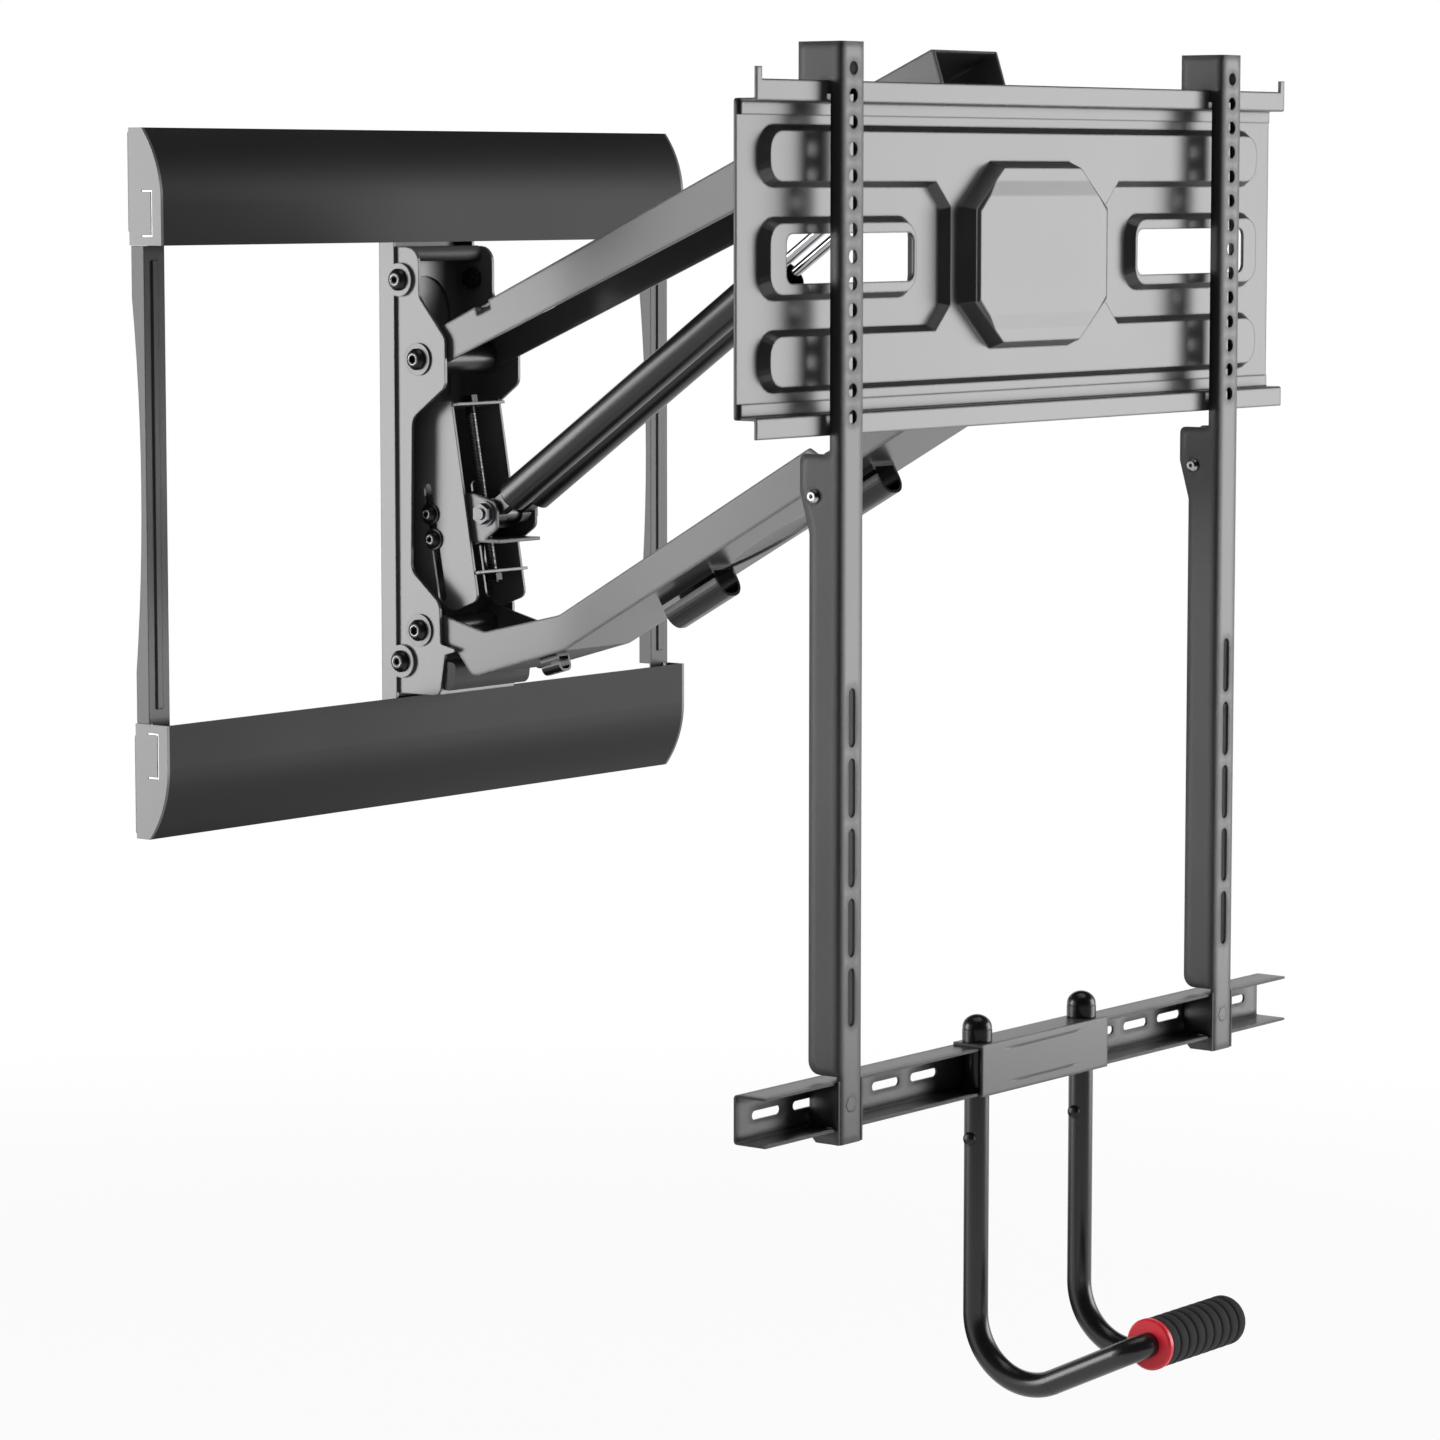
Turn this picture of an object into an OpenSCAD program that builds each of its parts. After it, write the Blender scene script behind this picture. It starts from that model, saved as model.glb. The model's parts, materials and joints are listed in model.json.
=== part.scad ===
// Pull-down wall mount: a wall unit, a parallel pair of arms held up by two gas
// springs, a swivel and tilt head, and a hook-on screen carrier with a pull handle.
// X runs along the wall, the front faces -Y, the wall is the plane Y = 0, and the
// origin is the centre of the wall screw pattern. Lengths are millimetres.

/* [Wall unit] */
// Length over the covers
wall_w = 686; // [560:1:900]
// Height over the covers
wall_h = 586; // [560:1:640]
// Depth of the wall rails
rail_d = 20; // [16:0.5:24]
// Height of a wall rail
rail_h = 84; // [76:1:86]
// Sheet thickness of the wall rails
rail_t = 2.5; // [1.5:0.1:4]
// Width of the folded lips of a rail
rail_lip = 16; // [14:1:20]
// Distance between the wall screw slots
stud_pitch = 406.4; // [300:0.1:480]
// Length of a wall screw slot
stud_slot_l = 50; // [20:1:70]
// Width of a wall screw slot
stud_slot_w = 9; // [6:0.5:12]
// Height of a plastic cover
cover_h = 96; // [90:1:110]
// Depth of a cover at its front face
cover_d = 42; // [40:1:60]
// Height of the flat part of a cover front
cover_flat = 36; // [20:1:44]
// Radius of the curved part of a cover front
cover_r = 95; // [92:1:140]
// Wall of the covers
cover_t = 2; // [1.2:0.1:2.2]
// Thickness of the end caps
cap_t = 3; // [2:0.5:6]
// Width of the side strips
strip_w = 24; // [18:1:40]
// Depth of the bow along the edges of the side strips
strip_bow = 8; // [1:0.5:10]

/* [Column] */
// Width over the column flanges
column_w = 106; // [100:1:120]
// Sheet thickness of the column and the carrier
sheet_t = 3; // [2:0.5:4]
// Reach of the column flanges from the wall
column_d = 37; // [32:1:38]
// Height of the arm carrier
carrier_h = 386; // [380:1:388]
// Height of the ear screws from the centre
ear_z = 165; // [150:1:170]
// Distance of the ear screws from the wall
ear_f = 42; // [38:1:46]
// Radius of the rounded ears
ear_r = 14.5; // [12:0.5:18]

/* [Arms] */
// Distance of the wall pivots from the wall
pivot_f = 62; // [58:1:66]
// Height of the upper wall pivot
pivot_z = 97; // [90:1:104]
// Distance between the upper and lower pivots
pivot_gap = 234; // [228:1:240]
// Pivot to pivot length of both arms
arm_span = 558; // [520:1:620]
// Angle of the arms as they hang on the stop
arm_rest = 22.3; // [20:0.1:25]
// Width over the arms
arm_w = 88; // [80:1:90]
// Sheet thickness of the arms
arm_t = 2.5; // [1.5:0.1:4]
// Depth of the lower arm below its pivots, at the kink
low_depth = 68; // [60:1:70]
// Distance of the kink from the wall pivot
low_kink = 142; // [130:1:150]
// Diameter of the pivot bolts
axle_d = 12; // [8:0.5:14]
// Outer diameter of the pivot hubs
hub_d = 20; // [17:0.5:24]

/* [Gas springs] */
// Outer diameter of a gas cylinder
spring_d = 28; // [27:0.5:29]
// Wall of a gas cylinder
spring_wall = 1.6; // [1:0.1:1.8]
// Length of a gas cylinder tube
spring_tube_l = 339; // [320:1:350]
// Diameter of a spring rod
spring_rod_d = 9; // [6:0.5:9.5]
// Length of a spring rod from its pin
spring_rod_l = 330; // [310:1:345]
// Distance between the two spring axes
spring_pitch = 32; // [30:0.5:36]
// Pin to pin length at rest
spring_rest = 510; // [500:1:520]
// Angle of the springs at rest
spring_angle = 34.8; // [34:0.1:35.5]
// Diameter of the spring pins
spring_pin_d = 10; // [8:0.5:12]

/* [Tension adjuster] */
// Distance of the lower spring pin from the wall
slider_f = 117; // [114:1:120]
// Height of the lower spring pin
slider_z = -35; // [-38:1:-32]
// Lean of the tension screw
screw_lean = 10; // [8:0.5:12]
// Diameter of the tension screw
screw_d = 8; // [6:0.5:10]
// Width over the adjuster cheeks
adjuster_w = 65; // [62:1:70]
// Sheet thickness of the adjuster
adjuster_t = 2.5; // [2:0.5:3]

/* [Head] */
// Distance from the front pivots to the head plate
head_plate_gap = 37.7; // [36:0.1:42]
// Distance from the front pivots to the swivel axis
swivel_gap = 57; // [56:0.5:60]
// Distance from the swivel axis to the tilt axis
tilt_gap = 20; // [18:0.5:22]
// Diameter of the swivel pin
swivel_d = 12; // [8:1:14]
// Diameter of the tilt pin
tilt_d = 8; // [6:1:10]
// Half distance between the swivel lugs
swivel_half = 50; // [40:1:60]

/* [Screen plate] */
// Width of the stamped plate
plate_w = 738; // [680:1:800]
// Height of the stamped plate
plate_h = 237; // [225:1:245]
// Sheet thickness of the plate
plate_t = 2.5; // [1.5:0.1:3]
// Height of the raised panel over the margin
panel_rise = 8; // [6:0.5:9]
// Height of the centre boss over the panel
boss_rise = 13; // [10:0.5:14]
// Width of the pressed slopes
press_slope = 6; // [4:0.5:7]
// Width of a window between its ends
window_w = 162; // [120:1:180]
// Height of a window
window_h = 37; // [25:1:45]
// Distance from the plate to the front lip of a hook rail
hook_reach = 17; // [15:0.5:18]
// Height of the lip of a hook rail
hook_lip = 14; // [12:0.5:16]

/* [Screen brackets] */
// Distance between the two screen brackets
bracket_gap = 528; // [400:1:560]
// Length of a screen bracket
bracket_l = 834; // [800:1:900]
// Width of a screen bracket
bracket_w = 31; // [26:0.5:36]
// Sheet thickness of a screen bracket
bracket_t = 2.5; // [2:0.1:3]
// Depth of the hook lugs
lug_d = 40; // [38:0.5:42]
// Depth of the long flanges
flange_d = 29; // [24:0.5:30]
// Distance between the round holes
hole_pitch = 20; // [18:0.5:20]
// Number of round holes
hole_count = 14; // [8:1:14]
// Diameter of the round holes
hole_d = 10.5; // [6:0.5:12]
// Number of long slots
slot_count = 5; // [2:1:5]
// Distance between the long slots
slot_pitch = 53.5; // [50:0.5:54]
// Length of a long slot
slot_l = 45; // [30:1:47]
// Width of a long slot
slot_w = 8.5; // [6:0.5:10]

/* [Cross rail and handle] */
// Length of the cross rail
cross_l = 736; // [620:1:800]
// Height of the cross rail
cross_h = 38; // [34:1:42]
// Depth of the cross rail
cross_d = 30; // [28:0.5:32]
// Distance between the handle legs
leg_gap = 148; // [120:1:180]
// Diameter of the handle tube
tube_d = 20; // [15:0.5:21]
// Length of the straight legs
leg_l = 235; // [200:1:260]
// Radius of the large bend
bend_r = 52; // [40:1:70]
// Turn of the large bend
bend_turn = 116; // [105:1:120]
// Length from the large bend to the grip
reach_l = 87; // [70:1:110]
// Radius of the corner bends
corner_r = 17; // [13:0.5:20]
// Diameter of the foam grip
grip_d = 40; // [32:1:44]
// Number of foam ribs
grip_ribs = 9; // [5:1:13]
// Width of a grip ring
ring_w = 5; // [4:0.5:9]

/* [Hidden] */
// Running clearance of pins and slides
run = 0.05;
// Gap between faces that pass each other
gap = 0.3;
$fn = 48;

// Wall unit places
rail_l = wall_w - 2 * (cap_t + 2);
rail_z = wall_h / 2 - cover_t - gap - rail_h / 2;
cover_low = wall_h / 2 - cover_h;
strip_x = wall_w / 2 - strip_w / 2;
strip_leg = cover_low - gap;
lip_hole_z = (rail_h - rail_lip) / 2 - 3;
web_f = rail_d;
carrier_f = web_f + sheet_t;
cheek_x = column_w / 2 - sheet_t;
adjuster_seat = carrier_f + sheet_t;

// Front pivots and everything that the head carries
head_f = pivot_f + arm_span * cos(arm_rest);
head_z = pivot_z + arm_span * sin(arm_rest);
low_z = pivot_z - pivot_gap;
plate_z = head_z - pivot_gap / 2;
swivel_f = head_f + swivel_gap;
tilt_f = swivel_f + tilt_gap;
plate_f = tilt_f;
panel_f = plate_f + panel_rise;
boss_f = panel_f + boss_rise;
lip_f = plate_f + hook_reach;
face_f = boss_f + 8.5;
top_z = plate_z + plate_h / 2 + hook_lip + 29;
hole_z = top_z - 20;
slot_z = hole_z - hole_count * hole_pitch - 185 - slot_l / 2;
cross_top = top_z - bracket_l + 49;
leg_f = face_f - 16;
bend_z = cross_top + 19 - leg_l;
bend_f = leg_f + bend_r;
reach_a = bend_turn - 90;
reach_f = bend_f + bend_r * sin(reach_a);
reach_z = bend_z - bend_r * cos(reach_a);
grip_f = reach_f + reach_l * cos(reach_a);
grip_z = reach_z + reach_l * sin(reach_a);
grip_half = leg_gap / 2 - corner_r;
screw_f = slider_f - 28.5;
screw_z = slider_z + 25;
pin_s = spring_rest * cos(spring_angle);
pin_f = slider_f + pin_s;
pin_z = slider_z + spring_rest * sin(spring_angle);
// The upper spring pin in the frame of the upper arm
pin_u = (pin_f - pivot_f) * cos(arm_rest) + (pin_z - pivot_z) * sin(arm_rest);
pin_v = -(pin_f - pivot_f) * sin(arm_rest) + (pin_z - pivot_z) * cos(arm_rest);

// Points of the arc that rounds the corner b of a path a, b, c
function unit(v) = v / norm(v);
function corner_arc(a, b, c, r, n) =
    let (u = unit(a - b), v = unit(c - b), half = acos(max(-1, min(1, u * v))) / 2)
    let (p = b + u * r / tan(half), q = b + v * r / tan(half))
    let (m = b + unit(u + v) * r / sin(half))
    let (s = atan2(p[1] - m[1], p[0] - m[0]), e = atan2(q[1] - m[1], q[0] - m[0]))
    let (turn = (e - s + 540) % 360 - 180)
    [for (i = [0:n]) m + r * [cos(s + turn * i / n), sin(s + turn * i / n)]];

// A closed outline from points [x, y, corner radius]
function rounded(points, n = 5) =
    let (k = len(points))
    [for (i = [0:k - 1])
        let (a = points[(i + k - 1) % k], b = points[i], c = points[(i + 1) % k])
        each b[2] > 0
            ? corner_arc([a[0], a[1]], [b[0], b[1]], [c[0], c[1]], b[2], n)
            : [[b[0], b[1]]]];

function rect(x0, x1, y0, y1, r = 0) = [[x0, y0, r], [x1, y0, r], [x1, y1, r], [x0, y1, r]];

// Extrudes an outline drawn as (distance from the wall, height) along X
module side_plate(x, t) {
    translate([x, 0, 0]) rotate([90, 0, -90]) linear_extrude(t, center = true) children();
}

// A round bar along X between x0 and x1
module bar_x(x0, x1, f, z, d) {
    translate([x0, -f, z]) rotate([0, 90, 0]) cylinder(h = x1 - x0, d = d);
}

// A round bar towards the front between f0 and f1
module bar_f(x, z, f0, f1, d) {
    translate([x, -f0, z]) rotate([90, 0, 0]) cylinder(h = f1 - f0, d = d);
}

// A box between two distances from the wall
module block(x0, x1, f0, f1, z0, z1) {
    translate([x0, -f1, z0]) cube([x1 - x0, f1 - f0, z1 - z0]);
}

// A slot with round ends that runs along X and cuts from f0 to f1
module slot_x(x, z, f0, f1, l, w) {
    block(x - l / 2 + w / 2, x + l / 2 - w / 2, f0, f1, z - w / 2, z + w / 2);
    for (s = [-1, 1]) bar_f(x + s * (l - w) / 2, z, f0, f1, w);
}

// A slot with round ends that runs along Z and cuts from f0 to f1
module slot_z(x, z, f0, f1, l, w) {
    block(x - w / 2, x + w / 2, f0, f1, z - l / 2 + w / 2, z + l / 2 - w / 2);
    for (s = [-1, 1]) bar_f(x, z + s * (l - w) / 2, f0, f1, w);
}

// The frame of something that turns about X at (f, z), raised by an angle
module raised(f, z, a) {
    translate([0, -f, z]) rotate([-a, 0, 0]) children();
}

// Button head with a hex socket, its seat at z = 0 and its shank below
module button_screw(d, head_d, head_h, l) {
    difference() {
        union() {
            rotate_extrude() polygon([[0, 0], [head_d / 2, 0], [head_d / 2, head_h * 0.35],
                [head_d * 0.42, head_h * 0.75], [head_d * 0.3, head_h], [0, head_h]]);
            translate([0, 0, -l]) cylinder(h = l + head_h / 2, d = d);
        }
        translate([0, 0, head_h * 0.4]) cylinder(h = head_h, d = d * 0.62, $fn = 6);
    }
}

// A nut, threaded onto its screw, so its bore is the core of the thread
module hex_nut(d, across, h) {
    difference() {
        cylinder(h = h, d = across / cos(30), $fn = 6);
        translate([0, 0, -1]) cylinder(h = h + 2, d = 0.9 * d);
    }
}

module washer(d, outer, h) {
    difference() {
        cylinder(h = h, d = outer);
        translate([0, 0, -1]) cylinder(h = h + 2, d = d);
    }
}

// Places children so that their +Z points along X, to the left (-1) or right (1)
module facing(side, x, f, z) {
    translate([side * x, -f, z]) rotate([0, side * 90, 0]) children();
}

// Wall rails, side strips and covers

module wall_rail(z) {
    color("#2b2b2d") difference() {
        translate([0, 0, z]) side_plate(0, rail_l) difference() {
            polygon(rounded(rect(0, rail_d, -rail_h / 2, rail_h / 2, 3)));
            polygon(rounded(rect(rail_t, rail_d - rail_t,
                -rail_h / 2 + rail_t, rail_h / 2 - rail_t, 1)));
            polygon(rounded(rect(rail_d - rail_t - 1, rail_d + 1,
                -rail_h / 2 + rail_lip, rail_h / 2 - rail_lip)));
        }
        for (x = [-0.75, -0.5, 0.5, 0.75] * stud_pitch)
            slot_x(x, z, -1, rail_t + 1, stud_slot_l, stud_slot_w);
        for (s = [-1, 1], e = [-1, 1])
            bar_f(s * end_x, z + e * lip_hole_z, rail_d - rail_t - 1, rail_d + 1, 5);
    }
}

module upper_wall_rail() { wall_rail(rail_z); }

module lower_wall_rail() { wall_rail(-rail_z); }

strip_t = 2;
strip_end = rail_z + rail_h / 2 - 4;
// The strip ends are narrower, to lie between the rail lips and the end caps
end_w = strip_w - 6;
end_x = strip_x - 3;
bow_half = strip_leg - 42;
bow_r = (bow_half * bow_half + strip_bow * strip_bow) / (2 * strip_bow);

module side_strip(side) {
    color("#55565a") difference() {
        union() {
            block(side * strip_x - strip_w / 2, side * strip_x + strip_w / 2,
                web_f, web_f + strip_t, -strip_leg, strip_leg);
            block(side * end_x - end_w / 2, side * end_x + end_w / 2,
                web_f, web_f + strip_t, -strip_end, strip_end);
            for (s = [-1, 1]) side_plate(side * strip_x + s * (strip_w / 2 - strip_t / 2), strip_t)
                difference() {
                    polygon(rect2(8, web_f + strip_t / 2, -strip_leg, strip_leg));
                    translate([8 + strip_bow - bow_r, 0]) circle(bow_r, $fn = 200);
                }
            translate([side * strip_x, -web_f - strip_t, -strip_leg + 12])
                linear_extrude(2 * strip_leg - 24)
                    polygon([[-5, 0.5], [-3, -1.6], [3, -1.6], [5, 0.5]]);
        }
        for (s = [-1, 1], e = [-1, 1])
            bar_f(side * end_x, s * rail_z + e * lip_hole_z, web_f - 1, web_f + strip_t + 1, 5);
    }
}

module left_side_strip() { side_strip(-1); }

module right_side_strip() { side_strip(1); }

module strip_screws() {
    color("#8c8d90") for (side = [-1, 1], s = [-1, 1], e = [-1, 1])
        translate([side * end_x, -web_f - strip_t, s * rail_z + e * lip_hole_z])
            rotate([90, 0, 0]) button_screw(4.8, 9, 2.6, rail_t + strip_t + 4);
}

// Outline of a cover, moved inwards by i, with its open edge at height 0
module cover_outline(i) {
    difference() {
        polygon(rect2(6 - 4 * i, cover_d - i, -2 * i, cover_h - i));
        difference() {
            polygon(rect2(-20, cover_d + 1, cover_flat, cover_h + 1));
            translate([cover_d - cover_r, cover_flat]) circle(cover_r - i, $fn = 120);
        }
    }
}

module cover(side) {
    color("#3b3b3d") mirror([0, 0, side < 0 ? 1 : 0]) translate([0, 0, cover_low])
        side_plate(0, wall_w - 2 * cap_t) difference() {
            cover_outline(0);
            cover_outline(cover_t);
        }
}

module upper_cover() { cover(1); }

module lower_cover() { cover(-1); }

module end_cap(side, level) {
    tab_w = 12;
    tab_h = 38;
    color("#313133") mirror([0, 0, level < 0 ? 1 : 0]) difference() {
        translate([0, 0, cover_low]) side_plate(side * (wall_w / 2 - cap_t / 2), cap_t)
            difference() {
                cover_outline(0);
                translate([20, 7]) difference() {
                    polygon(rounded(rect(0, tab_w, 0, tab_h)));
                    polygon(rounded(rect(-1, tab_w - 1.4, 1.4, tab_h - 1.4)));
                }
            }
    }
}

module upper_left_cap() { end_cap(-1, 1); }

module upper_right_cap() { end_cap(1, 1); }

module lower_left_cap() { end_cap(-1, -1); }

module lower_right_cap() { end_cap(1, -1); }

// Column, carrier and stops

column_half = rail_z + rail_h / 2 - 5.5;

module column_flange(x) {
    side_plate(x, sheet_t) difference() {
        union() {
            polygon(rounded([[web_f, -column_half, 0], [web_f + 4, -column_half, 0],
                [column_d, -cover_low - 46, 6], [column_d, cover_low + 46, 6],
                [web_f + 4, column_half, 0], [web_f, column_half, 0]]));
            for (s = [-1, 1]) translate([ear_f, s * ear_z]) circle(ear_r);
        }
        for (s = [-1, 1]) translate([ear_f, s * ear_z]) circle(5.1);
    }
}

module wall_column() {
    color("#a2a3a6") union() {
        difference() {
            block(-column_w / 2, column_w / 2, web_f, web_f + sheet_t, -column_half, column_half);
            for (x = [-30, 30], s = [-1, 1], e = [-1, 1])
                bar_f(x, s * rail_z + e * lip_hole_z, web_f - 1, web_f + sheet_t + 1, 8.4);
        }
        for (s = [-1, 1]) column_flange(s * (column_w / 2 - sheet_t / 2));
    }
}

cheek_back = carrier_f;
cheek_outline = [
    [cheek_back, carrier_h / 2, 0], [ear_f + 20.5, carrier_h / 2, 14], [ear_f + 20.5, 150, 12],
    [pivot_f + 30, pivot_z + 18, 12], [pivot_f + 30, pivot_z - 23, 10], [54, 46, 14],
    [52, -86, 14], [pivot_f + 22, low_z + 24, 14], [pivot_f + 23, low_z - 11, 2],
    [pivot_f + 44, low_z - 15.5, 1.5], [pivot_f + 28, low_z - 20, 1.5],
    [pivot_f + 22, -carrier_h / 2, 8], [cheek_back, -carrier_h / 2, 0]];

module arm_carrier() {
    color("#a8a9ac") difference() {
        union() {
            block(-cheek_x, cheek_x, carrier_f, carrier_f + sheet_t, -carrier_h / 2, carrier_h / 2);
            for (s = [-1, 1])
                side_plate(s * (cheek_x - sheet_t / 2), sheet_t) polygon(rounded(cheek_outline));
            // Cross plate that backs the lower bumper
            block(-cheek_x + 1, cheek_x - 1, pivot_f + 19, pivot_f + 22,
                -carrier_h / 2 + 1, low_z - 24);
        }
        for (z = [pivot_z, low_z]) bar_x(-cheek_x - 1, cheek_x + 1, pivot_f, z, axle_d + 2 * run);
        for (s = [-1, 1]) bar_x(-cheek_x - 1, cheek_x + 1, ear_f, s * ear_z, 10.2);
        bar_f(0, ear_z - 32, carrier_f - 1, carrier_f + sheet_t + 1, 68);
        block(-34, 34, carrier_f - 1, carrier_f + sheet_t + 1, 62, ear_z - 32);
        bar_f(0, -ear_z + 32, carrier_f - 1, carrier_f + sheet_t + 1, 50);
    }
}

module ear_screws() {
    color("#1d1d1f") for (side = [-1, 1], s = [-1, 1]) {
        facing(side, column_w / 2, ear_f, s * ear_z) button_screw(10, 19, 5.5, 2 * sheet_t + 9);
        facing(-side, -cheek_x + sheet_t, ear_f, s * ear_z) hex_nut(10, 16, 7);
    }
}

bar_z = carrier_h / 2 - 9;

module upper_stop_bar() {
    color("#77787b") difference() {
        bar_x(-cheek_x + sheet_t, cheek_x - sheet_t, ear_f + 3, bar_z + 3, 13);
        bar_x(-cheek_x, cheek_x, ear_f + 3, bar_z + 3, 6);
    }
}

module lower_bumper() {
    color("#3a3a3c") difference() {
        side_plate(0, 2 * cheek_x)
            polygon(rounded([[pivot_f + 22, low_z - 51, 3], [pivot_f + 38, low_z - 51, 8],
                [pivot_f + 41, low_z - 26, 5], [pivot_f + 22, low_z - 26, 2]]));
        for (s = [-1, 1])
            block(s * cheek_x - sheet_t - 0.2, s * cheek_x + sheet_t + 0.2,
                pivot_f + 10, pivot_f + 31, low_z - 60, low_z);
    }
}

// Pivot bolts with their washers and nuts

module pivot_bolt(f, z, half) {
    facing(-1, half + 2, f, z) button_screw(axle_d, 18.6, 6, 2 * half + 15);
    facing(1, half + 2, f, z) hex_nut(axle_d, 18, 9);
}

module upper_wall_axle() { color("#1d1d1f") pivot_bolt(pivot_f, pivot_z, cheek_x); }

module lower_wall_axle() { color("#1d1d1f") pivot_bolt(pivot_f, low_z, cheek_x); }

// Outer washers under the bolt heads and nuts, and slide rings beside the arms
module pivot_washers() {
    ring_t = cheek_x - sheet_t - arm_w / 2 - 2 * run;
    color("#b9babd") for (z = [pivot_z, low_z], side = [-1, 1]) {
        facing(side, cheek_x, pivot_f, z) washer(axle_d + 2 * run, 28, 2);
        facing(side, cheek_x - sheet_t - ring_t, pivot_f, z) washer(axle_d + 2 * run, 24, ring_t);
    }
}

// Tension adjuster

adjuster_x = adjuster_w / 2;
slot_f = screw_f - 33;
slot_low = 94;
bolt_d = 8;

module leaning() {
    translate([0, -screw_f, screw_z]) rotate([-screw_lean, 0, 0]) children();
}

module adjuster_bracket() {
    color("#9b9c9f") difference() {
        union() {
            for (s = [-1, 1]) side_plate(s * (adjuster_x - adjuster_t / 2), adjuster_t)
                polygon(rounded([[adjuster_seat, 54, 0], [screw_f - 5, 62, 3],
                    [screw_f + 24.5, -110, 8], [screw_f - 6, -121, 14], [adjuster_seat, -86, 0]]));
            block(-adjuster_x, adjuster_x, adjuster_seat, adjuster_seat + adjuster_t, -86, 54);
            leaning() for (z = [66, -80])
                translate([-adjuster_x + 1, -13, z]) cube([adjuster_w - 2, 26, adjuster_t]);
        }
        leaning() cylinder(h = 200, d = screw_d + 2 * run, center = true);
        // Guide slots for the slider bolts
        leaning() for (z = [-slot_low, 0])
            translate([0, screw_f - slot_f, z]) rotate([0, 90, 0])
                cylinder(h = adjuster_w + 2, d = bolt_d + 1, center = true);
        leaning() translate([-adjuster_x - 1, screw_f - slot_f - bolt_d / 2 - 0.5, -slot_low])
            cube([adjuster_w + 2, bolt_d + 1, slot_low]);
    }
}

slider_x = adjuster_x - adjuster_t - 3;
bolt_drop = [-22, -44];

module slider_block() {
    color("#98999c") difference() {
        union() {
            for (s = [-1, 1]) side_plate(s * (slider_x - 1.5), 3)
                polygon(rounded([[slider_f - 69, slider_z + 14, 6], [slider_f - 14, slider_z + 17, 6],
                    [slider_f + 13, slider_z + 10, 8], [slider_f + 13, slider_z - 13, 8],
                    [slider_f, slider_z - 22, 4], [slider_f - 65, slider_z - 28, 6]]));
            block(-slider_x, slider_x, slider_f - 38, slider_f + 16, slider_z - 25, slider_z - 22);
            leaning() translate([-slider_x + 1, -11, -42]) cube([2 * slider_x - 2, 22, 26]);
        }
        leaning() cylinder(h = 200, d = screw_d + 2 * run, center = true);
        bar_x(-slider_x - 1, slider_x + 1, slider_f, slider_z, spring_pin_d + 2 * run);
        leaning() for (z = bolt_drop)
            translate([0, screw_f - slot_f, z]) rotate([0, 90, 0])
                cylinder(h = adjuster_w, d = bolt_d + 2 * run, center = true);
    }
}

module slider_bolts() {
    color("#202022") leaning() for (side = [-1, 1], z = bolt_drop) {
        translate([side * (adjuster_x + 1.6), screw_f - slot_f, z]) rotate([0, side * 90, 0]) {
            button_screw(bolt_d, 14.5, 5, 1.6 + adjuster_t + 3 + 8);
            translate([0, 0, -1.6]) washer(0.9 * bolt_d, 18.5, 1.6);
        }
        translate([side * (slider_x - 3), screw_f - slot_f, z]) rotate([0, -side * 90, 0])
            hex_nut(bolt_d, 13, 6);
    }
}

eye_w = 12;

module slider_pin() {
    color("#b4b5b8") {
        bar_x(-slider_x - 9, slider_x + 9, slider_f, slider_z, spring_pin_d);
        bar_x(-spring_pitch / 2 + eye_w / 2 + run, spring_pitch / 2 - eye_w / 2 - run,
            slider_f, slider_z, 16);
        for (side = [-1, 1]) facing(side, slider_x, slider_f, slider_z) {
            cylinder(h = 2, d = 22);
            translate([0, 0, 2]) cylinder(h = 5, d = 16 / cos(30), $fn = 6);
        }
    }
}

module tension_screw() {
    color("#7d7e81") leaning() {
        translate([0, 0, -88]) cylinder(h = 88 + 66 + adjuster_t + 2, d = screw_d);
        translate([0, 0, 66 + adjuster_t + run]) cylinder(h = 7, d = 13 / cos(30), $fn = 6);
        translate([0, 0, -80 - 6.5]) cylinder(h = 6.4, d = 13 / cos(30), $fn = 6);
    }
}

// Arms: outlines are (along the pivot line, across it)

arm_slope = 0.0265;
arm_top = 17.6;

function arm_line(s) = arm_top + arm_slope * s;

module upper_arm_outline() {
    polygon(rounded([[-14, 14, 13], [-1, 14, 0], [4, arm_line(4), 3],
        [arm_span + 37, arm_line(arm_span + 37), 2], [arm_span + 35, 4, 5],
        [arm_span + 17, -15, 9], [arm_span - 18, -15.5, 8], [arm_span - 30, -9.2, 4],
        [pin_u + 22, -9.3, 4], [pin_u + 12.5, pin_v, 0], [pin_u + 11.5, pin_v - 12, 10],
        [pin_u - 11.5, pin_v - 12, 10], [pin_u - 12.5, pin_v, 0], [pin_u - 24, -9.7, 4],
        [20, -12.4, 0], [-1, -14, 0], [-14, -14, 13]], 8));
}

module upper_arm() {
    color("#9a9b9e") raised(pivot_f, pivot_z, arm_rest) difference() {
        side_plate(0, arm_w) upper_arm_outline();
        side_plate(0, arm_w - 2 * arm_t) polygon([[-30, -90], [-30, arm_line(-30) - arm_t],
            [arm_span + 60, arm_line(arm_span + 60) - arm_t], [arm_span + 60, -90]]);
        for (s = [0, arm_span]) bar_x(-arm_w, arm_w, s, 0, axle_d + 2 * run);
        bar_x(-arm_w, arm_w, pin_u, pin_v, spring_pin_d + 2 * run);
        for (x = [-1, 1]) block(x * arm_w / 2 - 7, x * arm_w / 2 + 7, 72, 88, 12, 30);
    }
}

module hub(x0, x1, s) {
    difference() {
        bar_x(x0, x1, s, 0, hub_d);
        bar_x(x0 - 1, x1 + 1, s, 0, axle_d + 2 * run);
    }
}

module upper_arm_hubs() {
    inner = arm_w / 2 - arm_t;
    color("#4a4b4e") raised(pivot_f, pivot_z, arm_rest)
        for (s = [0, arm_span]) hub(-inner, inner, s);
}

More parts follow.
